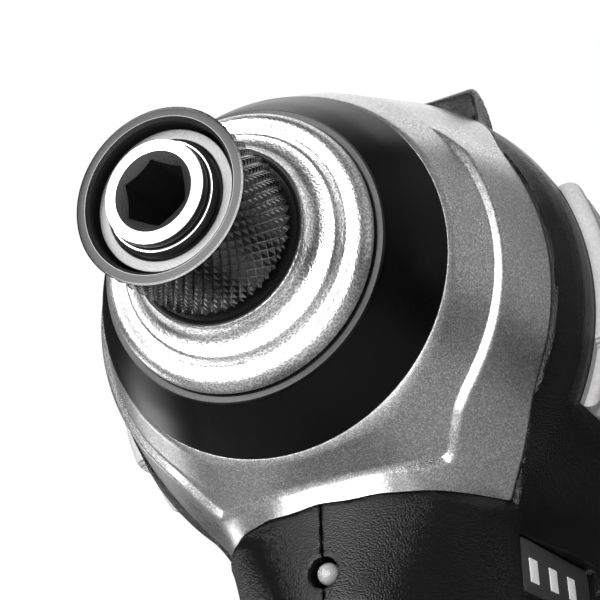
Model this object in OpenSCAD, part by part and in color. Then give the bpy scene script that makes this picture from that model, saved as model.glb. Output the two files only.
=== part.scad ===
// Impact driver with a quick-change hexagon chuck, a pistol grip and a slide-on battery.
// Tool frame: x to the tool's left, y back from the sleeve's rim, z up from the spindle axis.

/* [Overall] */
// Height of the spindle axis above the base
axis_height = 176; // [170:1:212]
// Distance from the sleeve's rim back to the end of the rear cap
body_length = 142; // [140:1:172]
// Largest radius of the housing
body_r = 32; // [31:0.5:39]
// Distance from the sleeve's rim back to the middle of the base
base_middle = 84; // [80:1:92]
// Wall of the moulded housing
wall = 3; // [2:0.1:3.6]

/* [Chuck] */
// Width across the flats of the bit socket
hex_af = 6.4; // [6.35:0.01:6.6]
// Depth of the bit socket
hex_depth = 21; // [17:0.5:23]
// Radius of the anvil's front shank
anvil_r = 5.6; // [5.2:0.1:6.6]
// How far the anvil's face stands ahead of the sleeve's rim
anvil_reach = 1; // [0.5:0.1:2]
// Radius of the countersunk mouth of the socket
mouth_r = 4.3; // [3.9:0.1:4.8]
// Outer radius of the knurled sleeve
sleeve_r = 9.5; // [9:0.1:11.4]
// Length of the knurled sleeve
sleeve_length = 11.5; // [10:0.1:13.8]
// Radius of a bit locking ball
lock_ball_r = 1.4; // [1.2:0.05:1.5]

/* [Impact mechanism] */
// Outer radius of the hammer
hammer_r = 19.3; // [17:0.1:20]
// Length of the hammer without its dogs
hammer_length = 22; // [18:0.5:24]
// Travel of the hammer back along the cam shaft
hammer_travel = 6.2; // [6:0.1:6.6]
// Radius of the cam shaft
cam_r = 8; // [7:0.1:8.5]
// Wall of the hammer case
case_wall = 2.5; // [2:0.1:3]

/* [Gears] */
// Module of the teeth
tooth_module = 0.55; // [0.5:0.01:0.57]
// Teeth on the motor pinion
pinion_teeth = 9; // [9:9:9]
// Teeth on each planet gear
planet_teeth = 27; // [27:27:27]
// Number of planet gears
planet_count = 3; // [3:1:3]
// Face width of the gears
gear_width = 8; // [6:0.5:9.6]

/* [Motor] */
// Outer radius of the motor can
motor_r = 18.6; // [17:0.1:20]
// Length of the motor can
motor_length = 42; // [40:1:44]
// Radius of the motor shaft
shaft_r = 1.6; // [1.4:0.1:1.7]

/* [Front] */
// Outer radius of the bumper ring's front edge
bumper_front_r = 17.05; // [16.8:0.05:18]
// Outer radius of the bumper ring's back edge
bumper_back_r = 21.7; // [21:0.1:22.5]
// Length of the bumper ring with the lip ahead of it
bumper_length = 7.3; // [6:0.1:9]
// Radius of the front cover at its ridge
ridge_r = 24.9; // [24.5:0.1:26]
// Distance of the ridge behind the sleeve's rim
ridge_s = 31.8; // [31:0.1:34]
// Radius of the front cover's back edge
cover_back_r = 29; // [28.5:0.1:30]
// Distance of the front cover's back edge behind the sleeve's rim
cover_back_s = 41; // [40:0.1:44]
// Wall of the front cover
cover_wall = 1.7; // [1.4:0.1:2]

/* [Grip] */
// Half the width of the chin and neck under the barrel
neck_half = 17.5; // [16:0.5:21]
// Distance of the chin's front behind the sleeve's rim, at the light
chin_front = 29.3; // [29:0.1:31]
// Backward lean of the chin's front in degrees
chin_lean = 15; // [10:1:18]
// Length of the chin and neck from front to back
neck_length = 70; // [66:1:76]
// Depth of the neck's underside below the spindle axis
neck_drop = 47; // [46:1:52]
// Half the width of the hand grip
grip_half = 17; // [16:0.5:18]
// Depth of the hand grip from front to back
grip_depth = 42; // [40:1:46]
// Backward lean of the grip in degrees
grip_lean = 5; // [2:1:7]
// Travel of the trigger
trigger_travel = 5; // [3:0.5:6]
// Width of the trigger
trigger_width = 13; // [11:0.5:14]
// Height of the trigger
trigger_height = 25; // [20:1:28]
// Travel of the direction slider to each side
slider_travel = 2.5; // [1.5:0.1:3]

/* [Foot and battery] */
// Width of the foot and of the battery
foot_width = 62; // [60:1:74]
// Length of the foot and of the battery
foot_length = 84; // [80:1:90]
// Height of the foot
foot_height = 15.6; // [15:0.1:18.7]
// Height of the battery
pack_height = 38; // [36:1:44]
// Gap between the battery and the foot
pack_gap = 0.4; // [0.3:0.05:0.6]
// Radius of one battery cell
cell_r = 9.1; // [8.6:0.1:9.2]
// Length of one battery cell
cell_length = 65; // [60:1:68]
// Travel of the battery latch
latch_travel = 3; // [2:0.1:3.6]

/* [Hidden] */

// Overrun of every cut
over = 1;
// Lap of two shapes that join in one piece
lap = 1;
// Clearance of a running fit
run_fit = 0.05;
// Clearance between pieces of one body that lie against each other
seat = 0.03;
// Clearance between pieces that move past each other
free_gap = 0.3;
// Parting line between two mouldings
seam = 0.35;
// Sides of a round surface
round_sides = 96;

// Frames and plain shapes
module tool() translate([0, -base_middle, axis_height]) children();
module spindle() tool() rotate([-90, 0, 0]) children();
module lathe(points) spindle() rotate_extrude($fn = round_sides) polygon(points);
function ring_points(r_in, r_out, s_from, s_to) =
    [[r_in, s_from], [r_out, s_from], [r_out, s_to], [r_in, s_to]];
module ring(r_in, r_out, s_from, s_to) lathe(ring_points(r_in, r_out, s_from, s_to));
module ring_slice(r_in, r_out, s_from, s_to, half_angle, turn)
    spindle() intersection() {
        rotate_extrude($fn = round_sides) polygon(ring_points(r_in, r_out, s_from, s_to));
        translate([0, 0, s_from - over]) rotate([0, 0, turn])
            linear_extrude(height = s_to - s_from + 2 * over)
                polygon([[0, 0], 2 * r_out * [cos(half_angle), -sin(half_angle)],
                         2 * r_out * [cos(half_angle), sin(half_angle)]]);
    }
module rod(r, s_from, s_to, arm = 0, turn = 0)
    spindle() rotate([0, 0, turn]) translate([arm, 0, s_from])
        cylinder(r = r, h = s_to - s_from, $fn = round_sides);
module cross_rod(r, x_from, x_to, y, z)
    tool() translate([x_from, y, z]) rotate([0, 90, 0])
        cylinder(r = r, h = x_to - x_from, $fn = round_sides);
module post(r, x, y, z_low, z_high)
    tool() translate([x, y, z_low]) cylinder(r = r, h = z_high - z_low, $fn = round_sides);
module block(low, high) tool() translate(low) cube(high - low);
module long_round(r, y_front, y_back) {
    translate([0, y_front + r]) circle(r = r, $fn = round_sides);
    translate([0, y_back - r]) circle(r = r, $fn = round_sides);
    translate([-r, y_front + r]) square([2 * r, y_back - y_front - 2 * r]);
}
module nose_round(r, y_front, y_back) {
    translate([0, y_front + r]) circle(r = r, $fn = round_sides);
    translate([-r, y_front + r]) square([2 * r, y_back - y_front - r]);
}
module upright_slot(r, y_front, y_back, z_low, z_high)
    tool() translate([0, 0, z_low]) linear_extrude(height = z_high - z_low) long_round(r, y_front, y_back);
module round_plate(width, length, corner) {
    square([width - 2 * corner, length], center = true);
    square([width, length - 2 * corner], center = true);
    for (x = [-1, 1], y = [-1, 1])
        translate([x * (width / 2 - corner), y * (length / 2 - corner)])
            circle(r = corner, $fn = round_sides);
}
module plate_prism(inset, z_low, z_high)
    tool() translate([0, base_middle, z_low]) linear_extrude(height = z_high - z_low)
        round_plate(foot_width - 2 * inset, foot_length - 2 * inset, foot_corner - inset);
module side_profile(points, half_width)
    tool() translate([-half_width, 0, 0]) rotate([90, 0, 90])
        linear_extrude(height = 2 * half_width) polygon(points);

// Round wire along points, with one normal for each point
function unit(v) = v / norm(v);
function tangent(points, i) = unit(points[min(i + 1, len(points) - 1)] - points[max(i - 1, 0)]);
module wire(points, normals, r) {
    last = len(points) - 1;
    skin = [for (i = [0:last], j = [0:wire_sides - 1])
        let (a = 360 * j / wire_sides, t = tangent(points, i), n = normals[i])
            points[i] + r * (cos(a) * n + sin(a) * cross(t, n))];
    walls = [for (i = [0:last - 1], j = [0:wire_sides - 1])
        let (a = i * wire_sides + j, b = i * wire_sides + (j + 1) % wire_sides)
            each [[a, a + wire_sides, b], [b, a + wire_sides, b + wire_sides]]];
    first = len(skin);
    caps = [for (j = [0:wire_sides - 1]) let (k = (j + 1) % wire_sides)
        each [[first, j, k], [first + 1, last * wire_sides + k, last * wire_sides + j]]];
    polyhedron(points = concat(skin, [points[0], points[last]]), faces = concat(walls, caps));
}
wire_sides = 6;
coil_rings = 12;
module coil(mean_r, wire_r, length, turns) {
    steps = turns * coil_rings;
    angles = [for (i = [0:steps]) 360 * i / coil_rings];
    wire([for (i = [0:steps]) [mean_r * cos(angles[i]), mean_r * sin(angles[i]),
                               wire_r + (length - 2 * wire_r) * i / steps]],
         [for (a = angles) [cos(a), sin(a), 0]], wire_r);
}

// Chuck: the sleeve, its spring and what holds them on the anvil
rim_step = 0.2;
rim_r = sleeve_r - rim_step;
back_chamfer = 0.9;
sleeve_wall = 1.4;
shoulder_length = 2;
chamber_depth = sleeve_length - shoulder_length;
chamber_r = sleeve_r - sleeve_wall;
throat_gap = 0.15;
throat_r = anvil_r + throat_gap;
groove_start = 0.3;
groove_depth = 0.5;
snap_ring_t = 0.8;
snap_ring_stand = 0.8;
washer_t = 0.8;
washer_start = groove_start + snap_ring_t + 2 * seat;
washer_r = chamber_r - free_gap;
lock_ball_s = chamber_depth + shoulder_length / 2;
lock_ball_arm = anvil_r - lock_ball_r;
mouth_depth = 1.1;
sleeve_wire_r = 0.35;
sleeve_spring_r = (anvil_r + chamber_r) / 2;
sleeve_spring_turns = 4;

// Anvil: journal in the bush, collar, and two wings that the hammer strikes
nose_gap = 1.1;
nose_front = sleeve_length + nose_gap;
bush_lip = 0.9;
bush_length = 11.6;
bush_wall = 2.5;
bush_front = nose_front + bush_lip;
bush_back = bush_front + bush_length;
journal_step = 1.4;
journal_r = anvil_r + journal_step;
collar_step = 2.2;
collar_r = journal_r + collar_step;
collar_t = 1.6;
collar_start = bush_back + free_gap;
wing_start = collar_start + collar_t;
wing_t = 5.5;
wing_end = wing_start + wing_t;
wing_short = 3.8;
wing_r = hammer_r - wing_short;
wing_half_angle = 19;
pilot_r = 3;
pilot_depth = 7;
wing_root_r = pilot_r + lap;

module anvil() color("gainsboro") difference() {
    union() {
        lathe([[0, -anvil_reach], [anvil_r, -anvil_reach], [anvil_r, groove_start],
               [anvil_r - groove_depth, groove_start], [anvil_r - groove_depth, washer_start],
               [anvil_r, washer_start], [anvil_r, bush_front], [journal_r, bush_front],
               [journal_r, collar_start], [collar_r, collar_start], [collar_r, wing_end], [0, wing_end]]);
        for (turn = [0, 180])
            ring_slice(wing_root_r, wing_r, wing_start, wing_end, wing_half_angle, turn);
    }
    spindle() translate([0, 0, -anvil_reach - over]) rotate([0, 0, 30])
        cylinder(d = hex_af / cos(30), h = hex_depth + over, $fn = 6);
    lathe([[0, -anvil_reach - over], [mouth_r, -anvil_reach - over], [mouth_r, -anvil_reach],
           [mouth_r - mouth_depth, mouth_depth - anvil_reach], [0, mouth_depth - anvil_reach]]);
    rod(pilot_r + run_fit, wing_end - pilot_depth, wing_end + over);
    for (turn = [0, 180])
        spindle() rotate([0, 0, turn]) translate([0, 0, lock_ball_s]) rotate([0, 90, 0])
            cylinder(r = lock_ball_r + run_fit, h = anvil_r + over, $fn = round_sides);
}

module locking_balls() color("silver")
    for (turn = [0, 180])
        spindle() rotate([0, 0, turn]) translate([lock_ball_arm, 0, lock_ball_s])
            sphere(r = lock_ball_r, $fn = round_sides);

module snap_ring() color("dimgray")
    ring(anvil_r - groove_depth + seat, anvil_r + snap_ring_stand,
         groove_start + seat, groove_start + snap_ring_t + seat);

module sleeve_washer() color("gray")
    ring(anvil_r + seat, washer_r, washer_start, washer_start + washer_t);

module sleeve_spring() color("silver")
    spindle() translate([0, 0, washer_start + washer_t])
        coil(sleeve_spring_r, sleeve_wire_r, chamber_depth - washer_start - washer_t, sleeve_spring_turns);

module sleeve() color("darkslategray")
    lathe([[chamber_r, 0], [rim_r, 0], [sleeve_r, rim_step], [sleeve_r, sleeve_length - back_chamfer],
           [sleeve_r - back_chamfer, sleeve_length], [throat_r, sleeve_length], [throat_r, chamber_depth],
           [chamber_r, chamber_depth]]);

// Hammer case: a casting with a beaded nose, a lip and a long bore
case_clear = 1.2;
case_in_r = hammer_r + case_clear;
case_out_r = case_in_r + case_wall;
nose_rim = 0.8;
nose_r = journal_r + bush_wall + nose_rim;
nose_land = 1.4;
bead_drop = 1;
bead_r = bumper_front_r - bead_drop;
bead_front_share = 2.4;
bead_back_share = 3.6;
bead_front = nose_front + bead_front_share * nose_land;
bead_back = nose_front + bead_back_share * nose_land;
lip_front = bead_back + nose_land / 2;
lip_t = 0.6;
lip_groove = 0.9;
bumper_start = lip_front + lip_t;
bumper_end = lip_front + bumper_length;
bumper_t = 1.1;
wing_gap = 1;
wing_room = wing_r + wing_gap;
shaft_gap = 0.5;
cavity_step = wing_end + shaft_gap;
hammer_gap = 1.5;
spring_room = 1.8;
hammer_start = wing_end + hammer_gap;
hammer_end = hammer_start + hammer_length;
cam_flange_start = hammer_end + hammer_travel + spring_room;
cam_flange_t = 3;
gear_gap = 0.4;
gear_start = cam_flange_start + cam_flange_t + gear_gap;
gear_end = gear_start + gear_width;
carrier_plate_t = 2;
carrier_plate_start = gear_end + gear_gap;
carrier_plate_end = carrier_plate_start + carrier_plate_t;
case_end = carrier_plate_end + 2 * free_gap;

module hammer_case() color("lightgray")
    lathe([[journal_r + free_gap, nose_front], [nose_r, nose_front], [nose_r, nose_front + nose_land],
           [bead_r - 2 * nose_land, bead_front - nose_land], [bead_r - nose_land, bead_front],
           [bead_r, bead_back], [bead_r - lip_groove, bead_back + seat], [bead_r - lip_groove, lip_front],
           [bumper_front_r, lip_front], [bumper_front_r, bumper_start],
           [bumper_front_r - bumper_t, bumper_start], [bumper_back_r - bumper_t, bumper_end],
           [case_out_r, ridge_s], [case_out_r, case_end],
           [case_in_r, case_end], [case_in_r, cavity_step], [wing_room, cavity_step], [wing_room, bush_back],
           [journal_r + bush_wall + seat, bush_back], [journal_r + bush_wall + seat, bush_front],
           [journal_r + free_gap, bush_front]]);

module front_bush() color("peru")
    ring(journal_r + run_fit, journal_r + bush_wall, bush_front + seat, bush_back);

module bumper_ring() color("black")
    lathe([[bumper_front_r - bumper_t + seat, bumper_start + seat], [bumper_front_r, bumper_start + seat],
           [bumper_back_r, bumper_end], [bumper_back_r - bumper_t + seat, bumper_end]]);

// Hammer: rear pocket for its spring, two dogs ahead that strike the anvil's wings
dog_length = 6;
dog_half_angle = 20;
dog_gap = 0.6;
dog_in_r = collar_r + dog_gap;
dog_out_r = wing_r - free_gap;
hub_wall = 2.5;
rim_wall = 2.8;
pocket_in_r = cam_r + hub_wall;
pocket_out_r = hammer_r - rim_wall;
pocket_share = 0.45;
pocket_floor = hammer_start + pocket_share * hammer_length;
cam_ball_r = 2.2;
cam_ball_s = hammer_start + hammer_length / 3;
cam_ball_turns = [90, 270];

module hammer() color("slategray") difference() {
    union() {
        lathe([[cam_r + run_fit, hammer_start], [hammer_r, hammer_start], [hammer_r, hammer_end],
               [pocket_out_r, hammer_end], [pocket_out_r, pocket_floor], [pocket_in_r, pocket_floor],
               [pocket_in_r, hammer_end], [cam_r + run_fit, hammer_end]]);
        for (turn = cam_ball_turns)
            ring_slice(dog_in_r, dog_out_r, hammer_start - dog_length, hammer_start + lap,
                       dog_half_angle, turn);
    }
    for (turn = cam_ball_turns)
        rod(cam_ball_r + free_gap, cam_ball_s - hammer_travel - cam_ball_r - free_gap,
            cam_ball_s + cam_ball_r + free_gap, cam_r, turn);
}

hammer_wire_r = 1.2;
hammer_spring_turns = 4;
hammer_spring_r = (pocket_in_r + pocket_out_r) / 2;
module hammer_spring() color("silver")
    spindle() translate([0, 0, pocket_floor])
        coil(hammer_spring_r, hammer_wire_r, cam_flange_start - pocket_floor, hammer_spring_turns);

// Reduction: involute teeth, short so that the small pinion isn't undercut
pressure_angle = 25;
addendum_share = 0.8;
dedendum_share = 1;
backlash = 0.07;
flank_steps = 3;
ring_teeth = pinion_teeth + 2 * planet_teeth;
function pitch_r(teeth) = tooth_module * teeth / 2;
carrier_arm = pitch_r(pinion_teeth) + pitch_r(planet_teeth);
planet_pin_r = 2;
function involute(base, r) = let (q = sqrt(max(0, r * r / (base * base) - 1))) q * 180 / PI - atan(q);
function polar(r, a) = r * [cos(a), sin(a)];
function gear_points(teeth, tip, root, slack) =
    let (p = pitch_r(teeth), base = p * cos(pressure_angle), low = max(root, base),
         half = 90 / teeth - slack / p * 90 / PI + involute(base, p),
         radii = [for (i = [0:flank_steps]) low + (tip - low) * i / flank_steps])
    [for (k = [0:teeth - 1]) let (mid = 360 * k / teeth) each concat(
        root < base ? [polar(root, mid - half)] : [],
        [for (r = radii) polar(r, mid - half + involute(base, r))],
        [for (i = [flank_steps:-1:0]) polar(radii[i], mid + half - involute(base, radii[i]))],
        root < base ? [polar(root, mid + half)] : [])];
function outer_gear(teeth) = gear_points(teeth, pitch_r(teeth) + addendum_share * tooth_module,
    pitch_r(teeth) - dedendum_share * tooth_module, backlash);

function planet_turn(i) = 360 * i / planet_count;
module planet(i)
    spindle() rotate([0, 0, planet_turn(i)]) translate([carrier_arm, 0, gear_start]) difference() {
        rotate([0, 0, planet_turn(i) * pinion_teeth / planet_teeth + 180 + 180 / planet_teeth])
            linear_extrude(height = gear_width) polygon(outer_gear(planet_teeth));
        translate([0, 0, -over])
            cylinder(r = planet_pin_r + run_fit, h = gear_width + 2 * over, $fn = round_sides);
    }
module planet_gear_1() color("darkgray") planet(0);
module planet_gear_2() color("darkgray") planet(1);
module planet_gear_3() color("darkgray") planet(2);

module ring_gear() color("dimgray") difference() {
    ring(0, case_in_r - seat, gear_start, gear_end);
    spindle() translate([0, 0, gear_start - over]) linear_extrude(height = gear_width + 2 * over)
        polygon(gear_points(ring_teeth, pitch_r(ring_teeth) + dedendum_share * tooth_module,
                            pitch_r(ring_teeth) - addendum_share * tooth_module, -backlash));
}

bearing_t = 4;
pinion_stand = 1;
pinion_back = case_end + bearing_t + pinion_stand;
module pinion() color("goldenrod") difference() {
    spindle() translate([0, 0, gear_start]) linear_extrude(height = pinion_back - gear_start)
        polygon(outer_gear(pinion_teeth));
    rod(shaft_r, gear_start - over, pinion_back + over);
}

module planet_pins() color("silver")
    for (i = [0:planet_count - 1])
        rod(planet_pin_r, cam_flange_start, carrier_plate_end, carrier_arm, planet_turn(i));

flange_rim = 4;
cam_flange_r = carrier_arm + planet_pin_r + flange_rim;
module cam_shaft() color("gray") difference() {
    lathe([[0, cavity_step - pilot_depth], [pilot_r, cavity_step - pilot_depth], [pilot_r, cavity_step],
           [cam_r, cavity_step], [cam_r, cam_flange_start], [cam_flange_r, cam_flange_start],
           [cam_flange_r, cam_flange_start + cam_flange_t], [0, cam_flange_start + cam_flange_t]]);
    for (i = [0:planet_count - 1])
        rod(planet_pin_r + seat, cam_flange_start - over, gear_start, carrier_arm, planet_turn(i));
    for (turn = cam_ball_turns)
        spindle() rotate([0, 0, turn]) translate([cam_r, 0, cam_ball_s])
            sphere(r = cam_ball_r + run_fit, $fn = round_sides);
}

module cam_balls() color("silver")
    for (turn = cam_ball_turns)
        spindle() rotate([0, 0, turn]) translate([cam_r, 0, cam_ball_s])
            sphere(r = cam_ball_r, $fn = round_sides);

carrier_hub_r = 8;
carrier_rim = 1.6;
carrier_bore = pitch_r(pinion_teeth) + carrier_rim;
carrier_plate_r = carrier_arm + planet_pin_r + carrier_rim;
bearing_wall = 3.5;
bearing_r = carrier_hub_r + bearing_wall;
module carrier_plate() color("gray") difference() {
    lathe([[carrier_bore, carrier_plate_start], [carrier_plate_r, carrier_plate_start],
           [carrier_plate_r, carrier_plate_end], [carrier_hub_r, carrier_plate_end],
           [carrier_hub_r, case_end + bearing_t], [carrier_bore, case_end + bearing_t]]);
    for (i = [0:planet_count - 1])
        rod(planet_pin_r + seat, gear_start, carrier_plate_end + over, carrier_arm, planet_turn(i));
}

module carrier_bearing() color("silver")
    ring(carrier_hub_r + run_fit, bearing_r, case_end + free_gap, case_end + bearing_t);

// Gearbox plate: closes the case and seats the carrier's bearing
plate_back_t = 2.2;
bearing_floor = case_end + bearing_t + free_gap;
gearbox_end = bearing_floor + plate_back_t;
module gearbox_plate() color("dimgray")
    lathe([[bearing_r + seat, case_end + seat], [case_out_r, case_end + seat], [case_out_r, gearbox_end],
           [carrier_bore, gearbox_end], [carrier_bore, bearing_floor], [bearing_r + seat, bearing_floor]]);

// Motor: can, magnets, armature and end cap
can_wall = 1.2;
can_front_t = 4;
can_bore = motor_r - can_wall;
motor_start = gearbox_end + seat;
motor_end = motor_start + motor_length;
small_bearing_r = 4.5;
small_bearing_t = 3;
end_cap_t = 5;
magnet_t = 2.8;
air_gap = 0.6;
core_r = can_bore - seat - magnet_t - air_gap;
core_front_room = 13;
core_back_room = 11;
core_start = motor_start + core_front_room;
core_end = motor_end - core_back_room;
core_slots = 7;
slot_width = 2;
slot_depth = 4;
winding_inset = 2.4;
winding_r = core_r - winding_inset;
winding_t = 3.4;
commutator_r = 4;
commutator_room = 1;
shaft_room = 1;
shaft_hole_r = shaft_r + shaft_room;
shaft_short = 1;
commutator_start = core_end + winding_t + air_gap;
brush_width = 4;
brush_length = 9;
brush_holder_t = brush_width + 2 * air_gap;

module motor_can() color("darkgray")
    lathe([[small_bearing_r + seat, motor_start], [motor_r, motor_start], [motor_r, motor_end],
           [can_bore, motor_end], [can_bore, motor_start + can_front_t],
           [shaft_hole_r, motor_start + can_front_t],
           [shaft_hole_r, motor_start + small_bearing_t + seat],
           [small_bearing_r + seat, motor_start + small_bearing_t + seat]]);

magnet_half_angle = 62;
module field_magnets() color("black")
    for (turn = [0, 180])
        ring_slice(can_bore - magnet_t - seat, can_bore - seat, core_start, core_end,
                   magnet_half_angle, turn);

module armature_shaft() color("silver") 
    rod(shaft_r - seat, gear_start, motor_end + end_cap_t - shaft_short);

module armature_core() color("slategray") difference() {
    ring(shaft_r, core_r, core_start, core_end);
    for (i = [0:core_slots - 1])
        spindle() rotate([0, 0, 360 * i / core_slots])
            translate([core_r - slot_depth, -slot_width / 2, core_start - over])
                cube([slot_depth + over, slot_width, core_end - core_start + 2 * over]);
}

module armature_windings() color("chocolate") {
    ring(shaft_hole_r, winding_r, core_start - winding_t, core_start - seat);
    ring(shaft_hole_r, winding_r, core_end + seat, core_end + winding_t);
}

module commutator() color("darkgoldenrod")
    ring(shaft_r, commutator_r, commutator_start, motor_end - free_gap);

fan_t = 4.5;
fan_hub_r = 5;
fan_r = core_r - air_gap;
fan_blades = 9;
blade_t = 1.2;
fan_start = core_start - winding_t - fan_t - free_gap;
module cooling_fan() color("dimgray") {
    ring(shaft_r, fan_hub_r, fan_start, fan_start + fan_t);
    ring(fan_hub_r - seat, fan_r, fan_start + fan_t - blade_t, fan_start + fan_t);
    for (i = [0:fan_blades - 1])
        spindle() rotate([0, 0, 360 * i / fan_blades]) translate([fan_hub_r - lap, -blade_t / 2, fan_start])
            cube([fan_r - fan_hub_r, blade_t, fan_t - blade_t / 2]);
}

module motor_bearings() color("silver") {
    ring(shaft_r + seat, small_bearing_r, motor_start + seat, motor_start + small_bearing_t);
    ring(shaft_r + seat, small_bearing_r, motor_end + free_gap, motor_end + free_gap + small_bearing_t);
}

module motor_end_cap() color("black") difference() {
    union() {
        ring(commutator_r + commutator_room, can_bore - seat, motor_end - brush_holder_t, motor_end + lap);
        ring(shaft_hole_r, motor_r, motor_end + seat, motor_end + end_cap_t);
    }
    rod(small_bearing_r + seat, motor_end - over, motor_end + free_gap + small_bearing_t + seat);
    for (turn = [0, 180])
        spindle() rotate([0, 0, turn])
            translate([0, -brush_width / 2 - run_fit, motor_end - brush_holder_t - over])
                cube([commutator_r + brush_length + free_gap, brush_width + 2 * run_fit,
                      brush_holder_t + over]);
}

module carbon_brushes() color("gray")
    for (turn = [0, 180])
        spindle() rotate([0, 0, turn])
            translate([commutator_r + run_fit, -brush_width / 2, motor_end - brush_width - free_gap])
                cube([brush_length, brush_width, brush_width]);

// Barrel of the housing and the rear cap, as shares of their length and of the body's radius
cap_length = 16;
barrel_start = cover_back_s + seam;
barrel_end = body_length - cap_length;
barrel_shares = [[0.06, 0.985], [0.13, 1], [0.42, 0.985], [0.72, 0.935]];
cap_share = 0.895;
cap_r = cap_share * body_r;
cap_shares = [[0.45, 0.96], [0.8, 0.84], [0.97, 0.64], [1, 0.5]];
function barrel_points(grow) = concat(
    [[cover_back_r + grow, barrel_start]],
    [for (p = barrel_shares) [p[1] * body_r + grow, barrel_start + p[0] * (barrel_end - barrel_start)]],
    [[cap_r + grow, barrel_end]]);
cap_points = concat(
    [[cap_r, barrel_end + seam]],
    [for (p = cap_shares) [p[1] * cap_r, barrel_end + seam + p[0] * (cap_length - seam)]]);
module barrel_solid(grow) lathe(concat([[0, barrel_start]], barrel_points(grow), [[0, barrel_end]]));

// Chin, neck, grip and foot
light_z = -34.2;
chin_down = 6;
chin_up = 16;
chin_share = 0.6;
chin_length = chin_share * neck_length;
neck_back = chin_front + neck_length;
neck_front_share = 0.28;
neck_front = chin_front + neck_front_share * neck_length;
foot_corner = 10;
foot_low = pack_height + pack_gap - axis_height;
foot_top = foot_low + foot_height;
grip_front_share = 0.36;
grip_front = chin_front + grip_front_share * neck_length;
grip_back = grip_front + grip_depth;
grip_top = -case_in_r;
grip_reach = (grip_top - foot_top) / cos(grip_lean) + grip_depth * tan(grip_lean) + wall;
module chin_prism(inset, low, high)
    tool() translate([0, chin_front, light_z]) rotate([-chin_lean, 0, 0]) translate([0, 0, low])
        linear_extrude(height = high - low) nose_round(neck_half - inset, inset, chin_length);
module grip_prism(inset, from, to)
    tool() translate([0, grip_front, grip_top]) rotate([180 + grip_lean, 0, 0]) translate([0, 0, from])
        linear_extrude(height = to - from) long_round(grip_half - inset, inset - grip_depth, -inset);

// Front cover: two cones that meet at the ridge, and a skirt round the top of the chin
skirt_lap = 1.6;
skirt_low = 8.2;
function cover_points(grow) = [[bumper_back_r + grow, bumper_end + seat], [ridge_r + grow, ridge_s],
                               [cover_back_r + grow, cover_back_s]];
module cover_solid(grow)
    lathe(concat([[0, bumper_end + seat]], cover_points(grow), [[0, cover_back_s]]));
module skirt_solid(grow) intersection() {
    chin_prism(-skirt_lap - grow, skirt_low - grow, chin_up);
    block([-body_r, 0, -axis_height], [body_r, cover_back_s, 0]);
}
module front_cover() color("silver") difference() {
    union() {
        cover_solid(0);
        difference() {
            skirt_solid(0);
            chin_prism(-seat, -chin_down - over, chin_up + over);
        }
    }
    lathe([[0, bumper_start], [bumper_back_r - bumper_t + 3 * seat, bumper_start],
           [bumper_back_r - bumper_t + 3 * seat, bumper_end], [case_out_r + seat, ridge_s],
           [cover_back_r - cover_wall, cover_back_s + over], [0, cover_back_s + over]]);
}

// Screw bosses across the tool: behind the rim, above the axis, half length
screw_r = 1.5;
screw_head_r = 2.9;
screw_head_t = 2.2;
screw_tip = 2;
boss_r = 3.6;
boss_half = 12;
shoulder_boss_half = 21.5;
boss_rise = 2;
neck_boss_share = 0.4;
neck_boss_rise_share = 1.5;
foot_boss_share = 4.4;
boss_places = [[barrel_start + 3 * boss_r, case_out_r + boss_rise, shoulder_boss_half],
               [chin_front + neck_boss_share * chin_length,
                neck_boss_rise_share * boss_r - neck_drop, boss_half],
               [grip_back + boss_r, foot_top + boss_r, boss_half],
               [grip_front + foot_boss_share * boss_r, foot_top + 2 * boss_r, boss_half]];

// Openings in the housing
trigger_fit = 0.5;
trigger_drop = 2;
trigger_top = -neck_drop - trigger_drop;
trigger_low = trigger_top - trigger_height;
trigger_reach = 12;
trigger_depth = 19;
trigger_front = grip_front - trigger_reach;
trigger_back = trigger_front + trigger_depth;
slider_height = 5;
slider_depth = 12;
slider_share = 0.6;
slider_s = chin_front + slider_share * neck_length;
slider_z = wall + slider_height / 2 - neck_drop;
slider_stand = 1;
slider_reach = slider_travel + slider_stand;
slider_fit = 0.35;
light_r = 1.5;
light_hole_r = 1.75;
light_sink_share = 0.9;
light_start = chin_front + light_sink_share * wall;
light_length = 6;
gauge_lead = 19;
gauge_front = chin_front + gauge_lead;
gauge_length = 32;
gauge_top = -30.8;
gauge_height = 7;
gauge_sink = 0.5;
gauge_t = 1.2;
gauge_rim = 0.8;
vent_count = 4;
vent_width = 2.2;
vent_pitch = 4.4;
vent_half = 11;
vent_start = motor_end - vent_count * vent_pitch;

// Battery rail: a neck and a wider head that slide in the foot
rail_neck_half = 14;
rail_head_half = 18;
rail_lip = 2.8;
rail_head_t = 6;
rail_fit = 0.4;
rail_lead = 4;
rail_room = 14;
rail_start = base_middle - foot_length / 2 + rail_lead;
rail_end = base_middle + foot_length / 2 - rail_room;
pack_top = pack_height - axis_height;
rail_head_low = pack_top + rail_lip + pack_gap + rail_fit;
rail_top = rail_head_low + rail_head_t;
terminal_t = 7;
insert_r = 3;
insert_bore = 1.65;
insert_length = 7;
insert_relief = 1.5;
insert_relief_room = 0.35;
insert_relief_r = insert_bore + insert_relief_room;
insert_behind = 18;
insert_drop = 4.5;
insert_s = base_middle + insert_behind;
insert_z = foot_top - insert_drop;

module foot_channel() {
    front = base_middle - foot_length / 2 - over;
    block([-rail_neck_half - rail_fit, front, foot_low - over],
          [rail_neck_half + rail_fit, rail_end + rail_fit, rail_head_low]);
    block([-rail_head_half - rail_fit, front, rail_head_low - rail_fit],
          [rail_head_half + rail_fit, rail_end + rail_fit + terminal_t, rail_top + rail_fit]);
}

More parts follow.
